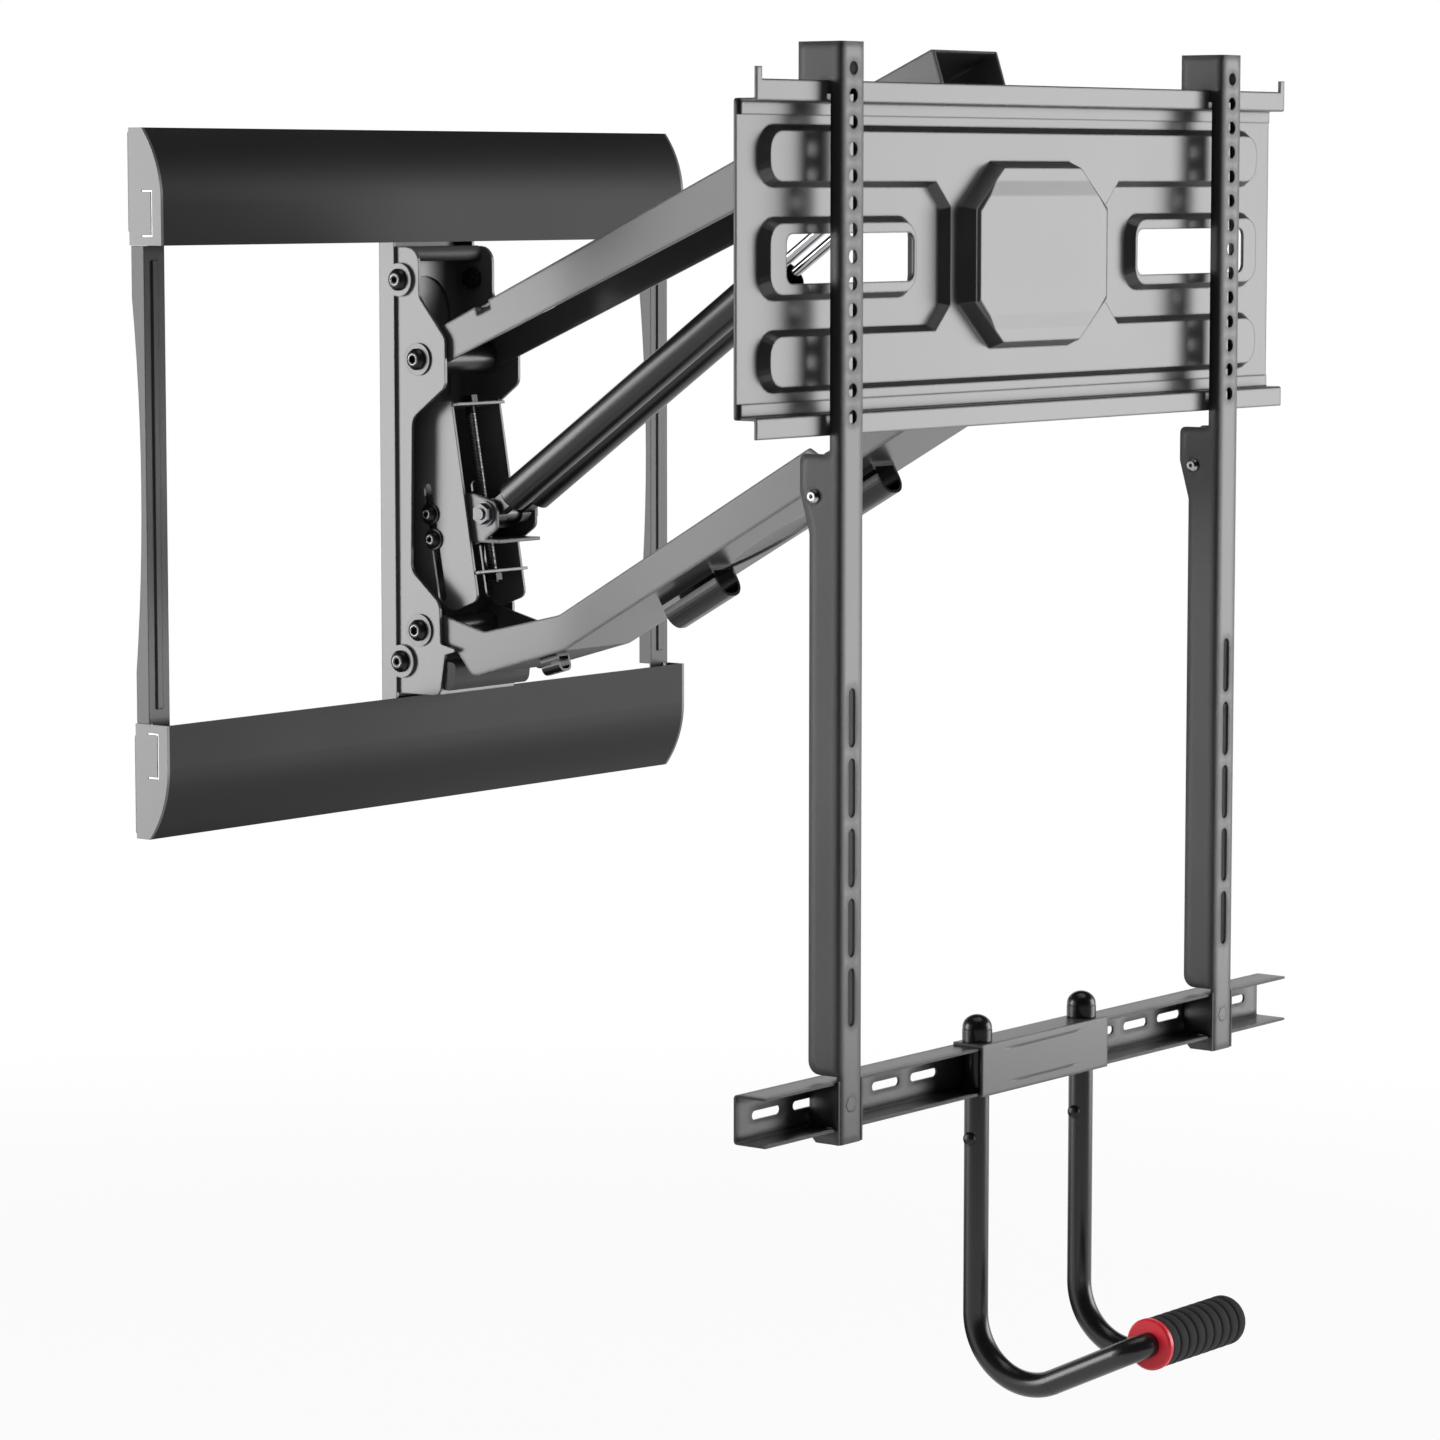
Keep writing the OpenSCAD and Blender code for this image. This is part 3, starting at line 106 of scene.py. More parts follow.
class Sock:
    """A node socket, or a plain number, that Python's operators can be used on."""

    def __init__(self, shader: "Shader", value: Any) -> None:
        """Keeps the shader that new nodes go into and the socket or number."""
        self.shader = shader
        self.value = value

    def _maths(self, operation: str, *others: Any, clamp: bool = False) -> "Sock":
        """Adds one Math node.

        Args:
            operation: the Math node's operation.
            others: further operands, as sockets or numbers.
            clamp: whether the result is held between 0 and 1.

        Returns:
            The node's result.
        """
        settings = {"operation": operation, "use_clamp": clamp}
        return self.shader.node("ShaderNodeMath", settings, dict(enumerate((self, *others))))

    def __add__(self, other: Any) -> "Sock":
        """Sum."""
        return self._maths("ADD", other)

    def __sub__(self, other: Any) -> "Sock":
        """Difference."""
        return self._maths("SUBTRACT", other)

    def __rsub__(self, other: Any) -> "Sock":
        """Difference from a number."""
        return Sock(self.shader, other)._maths("SUBTRACT", self)

    def __mul__(self, other: Any) -> "Sock":
        """Product."""
        return self._maths("MULTIPLY", other)

    __radd__ = __add__
    __rmul__ = __mul__

    def clamped(self) -> "Sock":
        """The value held between 0 and 1."""
        return self._maths("ADD", 0.0, clamp=True)

    def ramp(self, low: float, high: float) -> "Sock":
        """The value taken from low..high to 0..1, smoothly and clamped."""
        settings = {"interpolation_type": "SMOOTHSTEP"}
        values = {"Value": self, "From Min": low, "From Max": high}
        return self.shader.node("ShaderNodeMapRange", settings, values)


class Shader:
    """One material's node tree, with short ways to add nodes to it."""

    def __init__(self, name: str) -> None:
        """Makes the material and clears its tree.

        Args:
            name: the material's name.
        """
        self.material = bpy.data.materials.new(name)
        self.material.use_nodes = True
        self.tree = self.material.node_tree
        self.tree.nodes.clear()

    def node(
        self, kind: str, settings: dict[str, Any], values: dict[Any, Any], out: Any = 0
    ) -> Sock:
        """Adds a node of any type.

        Args:
            kind: the node's type name.
            settings: attributes, set before the sockets.
            values: sockets by name or number, each with a number, tuple or Sock.
            out: name or number of the output that is wanted.

        Returns:
            That output.
        """
        made = self.tree.nodes.new(kind)
        for key, value in settings.items():
            setattr(made, key, value)
        for key, value in values.items():
            plain = value.value if isinstance(value, Sock) else value
            if isinstance(plain, bpy.types.NodeSocket):
                self.tree.links.new(plain, made.inputs[key])
            else:
                made.inputs[key].default_value = plain
        return Sock(self, made.outputs[out])

    def position(self) -> Sock:
        """Object coordinates."""
        return self.node("ShaderNodeTexCoord", {}, {}, "Object")

    def axes(self) -> tuple[Sock, Sock, Sock]:
        """The three Object coordinates as numbers."""
        split = self.node("ShaderNodeSeparateXYZ", {}, {0: self.position()})
        outputs = split.value.node.outputs
        return Sock(self, outputs[0]), Sock(self, outputs[1]), Sock(self, outputs[2])

    def noise(self, scale: float, detail: float = 3.0, stretch: Triple = (1, 1, 1)) -> Sock:
        """Noise on Object coordinates, stretched along the axes."""
        place = self.node("ShaderNodeMapping", {}, {"Vector": self.position(), "Scale": stretch})
        return self.node(
            "ShaderNodeTexNoise", {}, {"Vector": place, "Scale": scale, "Detail": detail}
        )

    def mix(self, mask: Sock | float, first: Any, second: Any) -> Sock:
        """Mixes two colours by a mask."""
        first, second = (
            (*value, 1.0) if isinstance(value, tuple) else value for value in (first, second)
        )
        values = {MIX_FACTOR: mask, MIX_FIRST: first, MIX_SECOND: second}
        return self.node("ShaderNodeMix", {"data_type": "RGBA"}, values, MIX_RESULT)

    def bend(self, radius: float) -> Sock:
        """The surface's direction, rounded over its edges by a small radius."""
        return self.node("ShaderNodeBevel", {"samples": BEND_SAMPLES}, {"Radius": radius})

    def edge(self, rounded: Sock) -> Sock:
        """A mask of the edges, where the rounded direction leaves the face's own."""
        face = self.node("ShaderNodeNewGeometry", {}, {}, "Normal")
        settings = {"operation": "DOT_PRODUCT"}
        same = self.node("ShaderNodeVectorMath", settings, {0: rounded, 1: face}, "Value")
        return (1 - same).ramp(EDGE_FROM, EDGE_FULL)

    def bump(self, height: Sock, strength: float, distance: float, on: Sock | None = None) -> Sock:
        """A Bump node on a height, laid on the surface or on a rounded direction."""
        values: dict[Any, Any] = {"Height": height, "Strength": strength, "Distance": distance}
        if on is not None:
            values["Normal"] = on
        return self.node("ShaderNodeBump", {}, values)

    def finish(self, **sockets: Any) -> bpy.types.Material:
        """Closes the tree with a Principled shader.

        Args:
            sockets: its sockets, with underscores for spaces.

        Returns:
            The material.
        """
        values = {
            key.replace("_", " "): (*value, 1.0) if isinstance(value, tuple) else value
            for key, value in sockets.items()
        }
        self.show(self.node("ShaderNodeBsdfPrincipled", {}, values))
        return self.material

    def show(self, surface: Sock) -> None:
        """Links a shader to the material's output."""
        made = self.tree.nodes.new("ShaderNodeOutputMaterial")
        self.tree.links.new(surface.value, made.inputs["Surface"])


@dataclass(frozen=True)
class PowderCoat:
    """Satin powder coat on sheet steel: orange peel, faint mottling, and edges painted lighter,
    partly as wear of the coat and partly as painted highlight.

    gloss is the index of refraction, fold the radius to which the shading rounds the sheet's
    bends, depth the height of the peel, edge_wear_and_highlight how much lighter the edges are
    painted, partly as wear of the coat and partly as painted highlight, and drawn how the
    mottling stretches along the axes.
    """

    name: str
    colour: Triple
    roughness: float = 0.32
    peel: float = 0.1
    gloss: float = 1.6
    fold: float = 0.0012
    depth: float = 0.0002
    edge_wear_and_highlight: float = 0.45
    drawn: Triple = (1.0, 1.0, 1.0)

    def height(self, s: Shader) -> Sock:
        """The height of the coat's surface."""
        return s.noise(PEEL_SCALE, 2.0)

    def build(self) -> bpy.types.Material:
        """Makes the material."""
        s = Shader(self.name)
        cloud = s.noise(MOTTLE_SCALE, 4.0, self.drawn)
        speck = s.noise(SPECK_SCALE, 3.0).ramp(0.62, 0.72)
        rounded = s.bend(self.fold) if self.fold > 0 else None
        edge: Sock | float = s.edge(s.bend(EDGE_WEAR_AND_HIGHLIGHT_RADIUS)) if self.edge_wear_and_highlight > 0 else 0.0
        dark, light = tinted(self.colour, 0.84), tinted(self.colour, 1.16, 0.002)
        # The edges' colour is painted lighter: partly wear of the coat, partly painted highlight.
        worn_and_lit_edge_colour = tinted(self.colour, 1.5, 0.06)
        coat = s.mix(cloud.ramp(0.3, 0.7), dark, light)
        rough = cloud * 0.07 + (self.roughness - 0.035) + speck * 0.012 - edge * 0.06
        return s.finish(
            Base_Color=s.mix(edge * self.edge_wear_and_highlight, coat, worn_and_lit_edge_colour),
            Roughness=rough,
            IOR=self.gloss,
            Normal=s.bump(self.height(s), self.peel, self.depth, rounded),
        )


@dataclass(frozen=True)
class CreasedCoat(PowderCoat):
    """The coat of the handle clamp, whose sheet has two long shallow pressed creases."""

    lines: tuple[Triple, ...] = ()
    half_width: float = 0.0009
    slope: float = 0.008
    fade: float = 0.02

    def height(self, s: Shader) -> Sock:
        """Peel, and a crease for each (height, left end, right end)."""
        x, _, z = s.axes()
        total = s.noise(PEEL_SCALE, 2.0) * 0.02
        for level, left, right in self.lines:
            off = z - level - x * self.slope
            across = 1 - (off * off).ramp(0.0, self.half_width ** 2)
            along = x.ramp(left, left + self.fade) * (1 - x.ramp(right - self.fade, right))
            total = total - across * along
        return total


@dataclass(frozen=True)
class MouldedPlastic:
    """Moulded plastic with a fine spark-eroded grain."""

    name: str
    colour: Triple
    roughness: float = 0.5
    grain: float = 0.2
    grain_scale: float = 1500.0
    gloss: float = 1.48

    def build(self) -> bpy.types.Material:
        """Makes the material."""
        s = Shader(self.name)
        grain = s.noise(self.grain_scale, 2.0)
        cloud = s.noise(PLASTIC_MOTTLE_SCALE, 3.0)
        colour = s.mix(cloud.ramp(0.35, 0.65), tinted(self.colour, 0.88), self.colour)
        rough = cloud * 0.08 + (self.roughness - 0.04)
        return s.finish(
            Base_Color=colour,
            Roughness=rough,
            IOR=self.gloss,
            Normal=s.bump(grain, self.grain, 0.00015),
        )


@dataclass(frozen=True)
class PlatedSteel:
    """Zinc or black oxide on turned or pressed steel, with fine tool marks and edges painted
    lighter, partly as wear of the plating and partly as painted highlight.
    """

    name: str
    colour: Triple
    roughness: float = 0.3
    metallic: float = 1.0
    marks: Triple = (1.0, 1.0, 1.0)
    rim: float = 0.0005

    def build(self) -> bpy.types.Material:
        """Makes the material."""
        s = Shader(self.name)
        lines = s.noise(TOOL_MARK_SCALE, 3.0, self.marks)
        rounded = s.bend(self.rim) if self.rim > 0 else None
        edge: Sock | float = s.edge(rounded) if rounded is not None else 0.0
        cloud = s.noise(STAIN_SCALE, 3.0)
        # The edges' colour is painted lighter: partly wear of the plating, partly painted
        # highlight.
        worn_and_lit_edge_colour = tinted(self.colour, 1.5, 0.08)
        colour = s.mix(cloud.ramp(0.3, 0.75), tinted(self.colour, 0.72), self.colour)
        rough = cloud * 0.14 + (self.roughness - 0.07)
        return s.finish(
            Base_Color=s.mix(edge * 0.8, colour, worn_and_lit_edge_colour),
            Metallic=self.metallic,
            Roughness=rough,
            Normal=s.bump(lines, 0.15, 0.0001, rounded),
        )


@dataclass(frozen=True)
class CellFoam:
    """Closed cell foam with open pores at its cut skin, and its colour painted darker in the
    pores as painted shade.
    """

    name: str
    colour: Triple

    def build(self) -> bpy.types.Material:
        """Makes the material."""
        s = Shader(self.name)
        values = {"Vector": s.position(), "Scale": CELL_SCALE}
        cells = s.node("ShaderNodeTexVoronoi", {}, values, "Distance")
        cloud = s.noise(FOAM_MOTTLE_SCALE, 4.0)
        pores = cells.ramp(0.05, 0.45)
        # The pores are painted darker, as painted shade in their recesses.
        colour = s.mix(pores, tinted(self.colour, 0.45), self.colour)
        height = pores * 0.8 + cloud * 0.4
        return s.finish(
            Base_Color=colour,
            Roughness=cloud * 0.1 + 0.82,
            IOR=1.4,
            Normal=s.bump(height, 0.55, 0.0004),
        )


class Finish(Enum):
    """The finishes of the mount."""

    WALL = PowderCoat("wall rail coat", (0.04, 0.04, 0.042), 0.36)
    STRIP = PowderCoat("side strip coat", (0.02, 0.02, 0.021), 0.34, gloss=1.45)
    COLUMN = PowderCoat("wall column coat", (0.065, 0.065, 0.067), 0.31, 0.05, 1.68)
    ARM = PowderCoat(
        "arm coat", (0.045, 0.045, 0.0465), 0.3, 0.05, 1.62, 0.0035, drawn=(1.0, 0.3, 0.3)
    )
    HEAD = PowderCoat("head coat", (0.02, 0.02, 0.021), 0.3, gloss=1.5)
    PLATE = PowderCoat(
        "screen plate coat", (0.032, 0.032, 0.033), 0.31, 0.02, 1.64, 0.0022, edge_wear_and_highlight=0.0
    )
    BRACKET = PowderCoat(
        "screen bracket coat", (0.02, 0.02, 0.0206), 0.3, 0.03, 1.5, 0.009, edge_wear_and_highlight=0.3
    )
    CLAMP = CreasedCoat(
        "handle clamp coat", (0.045, 0.045, 0.0465), 0.32, 0.9, 1.5, 0.003, 0.0011,
        lines=((-0.4356, -0.058, 0.052), (-0.4628, -0.05, 0.046)),
    )
    TUBE = PowderCoat("handle tube coat", (0.01, 0.01, 0.0108), 0.25, 0.0, 1.52, 0.0, edge_wear_and_highlight=0.0)
    CYLINDER = PowderCoat(
        "gas cylinder lacquer", (0.012, 0.012, 0.0125), 0.3, 0.0, 1.55, 0.0, edge_wear_and_highlight=0.0
    )
    COVER = MouldedPlastic("cover plastic", (0.008, 0.008, 0.0083), 0.48, 0.14, gloss=1.32)
    # Lighter than the cover's plastic: painted light, for the light that falls on the left-facing
    # end caps.
    LIGHTENED_CAP = MouldedPlastic("cap plastic painted lighter", (0.09, 0.09, 0.093), 0.34, 0.1, gloss=1.6)
    CLIP = MouldedPlastic("clip plastic", (0.008, 0.008, 0.0085), 0.25, 0.05)
    BAR = MouldedPlastic("stop bar sleeve", (0.045, 0.045, 0.046), 0.55, 0.2)
    RUBBER = MouldedPlastic("bumper rubber", (0.02, 0.02, 0.02), 0.6, 0.35, 700.0)
    RED = MouldedPlastic("red ring plastic", (0.72, 0.012, 0.03), 0.36, 0.05)
    FOAM = CellFoam("grip foam", (0.022, 0.022, 0.024))
    OXIDE = PlatedSteel("black oxide", (0.03, 0.03, 0.032), 0.3, 0.7)
    ZINC = PlatedSteel("zinc plate", (0.55, 0.55, 0.57), 0.3)
    DULL = PlatedSteel("dull zinc", (0.13, 0.13, 0.135), 0.38, 0.8)
    # A pale plate that paints the end caps' slots bright.
    SLOT_BRIGHTENER = PlatedSteel("slot brightening plate", (0.82, 0.82, 0.84), 0.4, 0.6)
    CHROME = PlatedSteel("ground chrome", (0.5, 0.5, 0.52), 0.16, 1.0, (1.0, 0.06, 1.0), 0.0)


class Finishes:
    """Builds each finish once and gives it to objects."""

    def __init__(self) -> None:
        """Starts with no material built."""
        self.built: dict[Finish, bpy.types.Material] = {}

    def get(self, finish: Finish) -> bpy.types.Material:
        """The finish's material."""
        if finish not in self.built:
            self.built[finish] = finish.value.build()
        return self.built[finish]

    def dress(self, obj: bpy.types.Object, finish: Finish) -> None:
        """Puts a finish on every slot of an object."""
        material = self.get(finish)
        if not obj.material_slots:
            obj.data.materials.append(material)
        for slot in obj.material_slots:
            slot.material = material


@dataclass(frozen=True)
class Softbox:
    """A rectangular lamp, its place, the point it faces, its two sides and its watts."""

    name: str
    place: Triple
    aim: Triple
    size: Pair
    power: float

    def light(self) -> None:
        """Adds the lamp."""
        data = bpy.data.lights.new(self.name, "AREA")
        data.shape = "RECTANGLE"
        data.size, data.size_y = self.size
        data.energy = self.power
        lamp = bpy.data.objects.new(self.name, data)
        turn = (Vector(self.aim) - Vector(self.place)).to_track_quat("-Z", "Y")
        lamp.matrix_world = Matrix.Translation(self.place) @ turn.to_matrix().to_4x4()
        bpy.context.scene.collection.objects.link(lamp)


def hang_screen(name: str, points: Sequence[Triple], faces: Sequence[tuple[int, ...]]) -> None:
    """Makes a black screen that neither lights nor shades the object.

    Args:
        name: the screen's name.
        points: its corners.
        faces: its faces.
    """
    material = Shader(name).finish(Base_Color=(0.003, 0.003, 0.003), Roughness=0.9, IOR=1.1)
    mesh = bpy.data.meshes.new(name)
    mesh.from_pydata(points, [], faces)
    mesh.materials.append(material)
    screen = bpy.data.objects.new(name, mesh)
    for ray in ("visible_camera", "visible_shadow", "visible_diffuse", "visible_transmission"):
        setattr(screen, ray, False)
    bpy.context.scene.collection.objects.link(screen)


@dataclass(frozen=True)
class DarkDome:
    """A part of a dome round the object, black, which only the object's gloss sees.

    turns are degrees round the dome from the front, positive to the left, and rises are degrees
    above the horizon.
    """

    name: str
    radius: float
    turns: Pair
    rises: Pair
    centre_y: float = -0.4
    columns: int = 36
    rows: int = 12

    def hang(self) -> None:
        """Hangs the dome."""
        points = []
        for j in range(self.rows + 1):
            rise = math.radians(self.rises[0] + (self.rises[1] - self.rises[0]) * j / self.rows)
            flat, high = self.radius * math.cos(rise), self.radius * math.sin(rise)
            for i in range(self.columns + 1):
                part = (self.turns[1] - self.turns[0]) * i / self.columns
                turn = math.radians(self.turns[0] + part)
                points.append((-flat * math.sin(turn), self.centre_y - flat * math.cos(turn), high))
        step = self.columns + 1
        corners = [j * step + i for j in range(self.rows) for i in range(self.columns)]
        hang_screen(self.name, points, [(c, c + 1, c + step + 1, c + step) for c in corners])


@dataclass(frozen=True)
class DarkBoard:
    """A level black board between two corners, which only the object's gloss sees."""

    name: str
    low: Pair
    high: Pair
    z: float

    def hang(self) -> None:
        """Lays the board."""
        (left, front), (right, back) = self.low, self.high
        corners = [(left, front), (right, front), (right, back), (left, back)]
        hang_screen(self.name, [(x, y, self.z) for x, y in corners], [(0, 1, 2, 3)])


@dataclass
class Studio:
    """Camera, floor, backdrop light, lamps and the black screens that the gloss sees.

    Lengths in pixels belong to the photograph and angles are degrees. The floor's glow rises
    from near_glow to 1 between two squared distances from the middle. It and world_light are
    strengths, where 1 is white.
    """

    lamps: tuple[Softbox, ...] = (
        Softbox("right softbox", (2.5, -2.75, -0.1), (0.0, -0.67, 0.1), (2.0, 2.2), 78.0),
        Softbox("left softbox", (-2.4, 2.3, 0.1), (0.0, -0.4, 0.0), (1.5, 2.2), 74.0),
        Softbox("top softbox", (0.2, -0.6, 2.6), (0.0, -0.4, 0.0), (2.2, 2.2), 22.0),
    )
    screens: tuple[DarkDome | DarkBoard, ...] = (
        DarkDome("front screen", 3.1, (-22.0, 102.0), (-18.0, 24.0)),
        DarkDome("upper screen", 7.5, (0.0, 360.0), (24.0, 89.0)),
        DarkBoard("low screen", (-0.7, -0.1), (0.7, 1.5), -0.985),
    )
    focal_px: float = 5000.0
    frame_px: float = 1440.0
    azimuth: float = -52.03
    elevation: float = 6.15
    eye: Triple = (-3.2894, -2.9193, 0.2493)
    sensor_mm: float = 36.0
    sight: float = 100.0
    floor_z: float = -1.0
    floor_half: float = 60.0
    near_glow: float = 0.88
    glow_span: Pair = (1.2, 9.0)
    world_light: float = 0.45

    def camera(self) -> None:
        """Sets the camera at the photograph's angle."""
        data = bpy.data.cameras.new("camera")
        data.sensor_width = self.sensor_mm
        data.sensor_fit = "HORIZONTAL"
        data.lens = self.focal_px * self.sensor_mm / self.frame_px
        data.clip_end = self.sight
        data.dof.use_dof = False
        camera = bpy.data.objects.new("camera", data)
        bpy.context.scene.collection.objects.link(camera)
        a, e = math.radians(self.azimuth), math.radians(self.elevation)
        back = Vector((math.sin(a) * math.cos(e), -math.cos(a) * math.cos(e), math.sin(e)))
        right = Vector((math.cos(a), math.sin(a), 0.0))
        up = back.cross(right)
        turn = Matrix((right, up, back)).transposed().to_4x4()
        camera.matrix_world = Matrix.Translation(self.eye) @ turn
        bpy.context.scene.camera = camera

    def floor(self) -> None:
        """Adds the pale floor, white to the camera but for the object's shadow."""
        shader = Shader("studio floor")
        diffuse = shader.node("ShaderNodeBsdfDiffuse", {}, {"Color": (0.85, 0.85, 0.85, 1)})
        glow = shader.node("ShaderNodeEmission", {}, {"Color": (1, 1, 1, 1), "Strength": 1.0})
        path = shader.node("ShaderNodeLightPath", {}, {}, "Is Camera Ray")
        glossy = Sock(shader, path.value.node.outputs["Is Glossy Ray"])
        through = Sock(shader, path.value.node.outputs["Is Transmission Ray"])
        x, y, _ = shader.axes()
        far = (x * x + y * y).ramp(*self.glow_span)
        glow_level = self.near_glow + far * (1.0 - self.near_glow)
        seen = (path + glossy + through).clamped() * glow_level
        shader.show(shader.node("ShaderNodeMixShader", {}, {0: seen, 1: diffuse, 2: glow}))
        mesh = bpy.data.meshes.new("floor")
        r, z = self.floor_half, self.floor_z
        mesh.from_pydata([(-r, -r, z), (r, -r, z), (r, r, z), (-r, r, z)], [], [(0, 1, 2, 3)])
        mesh.materials.append(shader.material)
        floor = bpy.data.objects.new("floor", mesh)
        bpy.context.scene.collection.objects.link(floor)

    def world(self) -> None:
        """Sets a white backdrop that lights the object at a plain level."""
        world = bpy.data.worlds.new("studio")
        world.use_nodes = True
        tree = world.node_tree
        background = tree.nodes["Background"]
        path = tree.nodes.new("ShaderNodeLightPath")
        first = tree.nodes.new("ShaderNodeMath")
        first.operation = "MAXIMUM"
        second = tree.nodes.new("ShaderNodeMath")
        second.operation = "MAXIMUM"
        level = tree.nodes.new("ShaderNodeMapRange")
        level.inputs["To Min"].default_value = self.world_light
        tree.links.new(path.outputs["Is Camera Ray"], first.inputs[0])
        tree.links.new(path.outputs["Is Glossy Ray"], first.inputs[1])
        tree.links.new(first.outputs[0], second.inputs[0])
        tree.links.new(path.outputs["Is Transmission Ray"], second.inputs[1])
        tree.links.new(second.outputs[0], level.inputs["Value"])
        tree.links.new(level.outputs[0], background.inputs["Strength"])
        background.inputs["Color"].default_value = (1.0, 1.0, 1.0, 1.0)
        bpy.context.scene.world = world

    def build(self) -> None:
        """Sets up the whole studio."""
        self.camera()
        self.floor()
        self.world()
        for lamp in self.lamps:
            lamp.light()
        for screen in self.screens:
            screen.hang()
        bpy.context.scene.view_settings.view_transform = "Standard"


class MeshMaker:
    """Turns outlines and profiles into meshes in the object's frame.

    An edge is sharp above one angle, and a ring of a smaller radius than pole_below is a point.
    """

    sharp_above = math.radians(35)
    pole_below = 1e-7

    @staticmethod
    def object(name: str, mesh: bpy.types.Mesh, smooth: bool = True) -> bpy.types.Object:
        """Makes a linked object with smooth faces from a mesh."""
        obj = bpy.data.objects.new(name, mesh)
        bpy.context.scene.collection.objects.link(obj)
        if smooth:
            mesh.polygons.foreach_set("use_smooth", [True] * len(mesh.polygons))
            mesh.set_sharp_from_angle(angle=MeshMaker.sharp_above)
        return obj

    @staticmethod
    def kept(name: str, bm: bmesh.types.BMesh, smooth: bool = True) -> bpy.types.Object:
        """Makes a linked object from a working mesh, which is used up."""
        mesh = bpy.data.meshes.new(name)
        bm.to_mesh(mesh)
        bm.free()
        return MeshMaker.object(name, mesh, smooth)

    @staticmethod
    def sheet(name: str, outline: Sequence[Pair], thick: float) -> bpy.types.Object:
        """Cuts a flat sheet that stands across x.

        Args:
            name: the piece's name.
            outline: its corners (y, z) in millimetres.
            thick: its thickness, half to each side of x = 0.

        Returns:
            The closed sheet.
        """
        bm = bmesh.new()
        left, right = (
            [bm.verts.new((x, y / MM_PER_M, z / MM_PER_M)) for y, z in outline]
            for x in (-thick / 2, thick / 2)
        )
        bm.faces.new(left)
        bm.faces.new(right)
        for k in range(len(outline)):
            n = (k + 1) % len(outline)
            bm.faces.new((left[k], left[n], right[n], right[k]))
        bmesh.ops.recalc_face_normals(bm, faces=bm.faces[:])
        return MeshMaker.kept(name, bm, smooth=False)

    @staticmethod
    def turned(
        name: str, profile: Sequence[Pair], steps: int, spot: Matrix | None = None
    ) -> bpy.types.Object:
        """Turns a profile about its axis.

        Args:
            name: the piece's name.
            profile: points (radius, height), from one closed end or edge to the other.
            steps: facets round the axis.
            spot: where the axis stands, the z axis unless given.

        Returns:
            The closed piece.
        """
        bm = bmesh.new()
        rings = []
        for radius, height in profile:
            if radius < MeshMaker.pole_below:
                rings.append([bm.verts.new((0.0, 0.0, height))])
            else:
                rings.append([
                    bm.verts.new((radius * math.cos(t), radius * math.sin(t), height))
                    for t in (2 * math.pi * k / steps for k in range(steps))
                ])
        pairs = list(zip(rings, rings[1:]))
        if len(rings[0]) > 1:
            pairs.append((rings[-1], rings[0]))
        for low, high in pairs:
            for k in range(steps):
                n = (k + 1) % steps
                below = (low[k % len(low)], low[n % len(low)])
                above = (high[n % len(high)], high[k % len(high)])
                unique = list(dict.fromkeys(below + above))
                if len(unique) > 2:
                    bm.faces.new(unique)
        bmesh.ops.recalc_face_normals(bm, faces=bm.faces[:])
        if spot is not None:
            bm.transform(spot)
        return MeshMaker.kept(name, bm)

    @staticmethod
    def dome(radius: float, base: float, rise: float, steps: int) -> list[Pair]:
        """The profile of a round top, from its rim's first step to its peak."""
        angles = [math.pi / 2 * k / steps for k in range(1, steps + 1)]
        return [(radius * math.cos(t), base + rise * math.sin(t)) for t in angles]


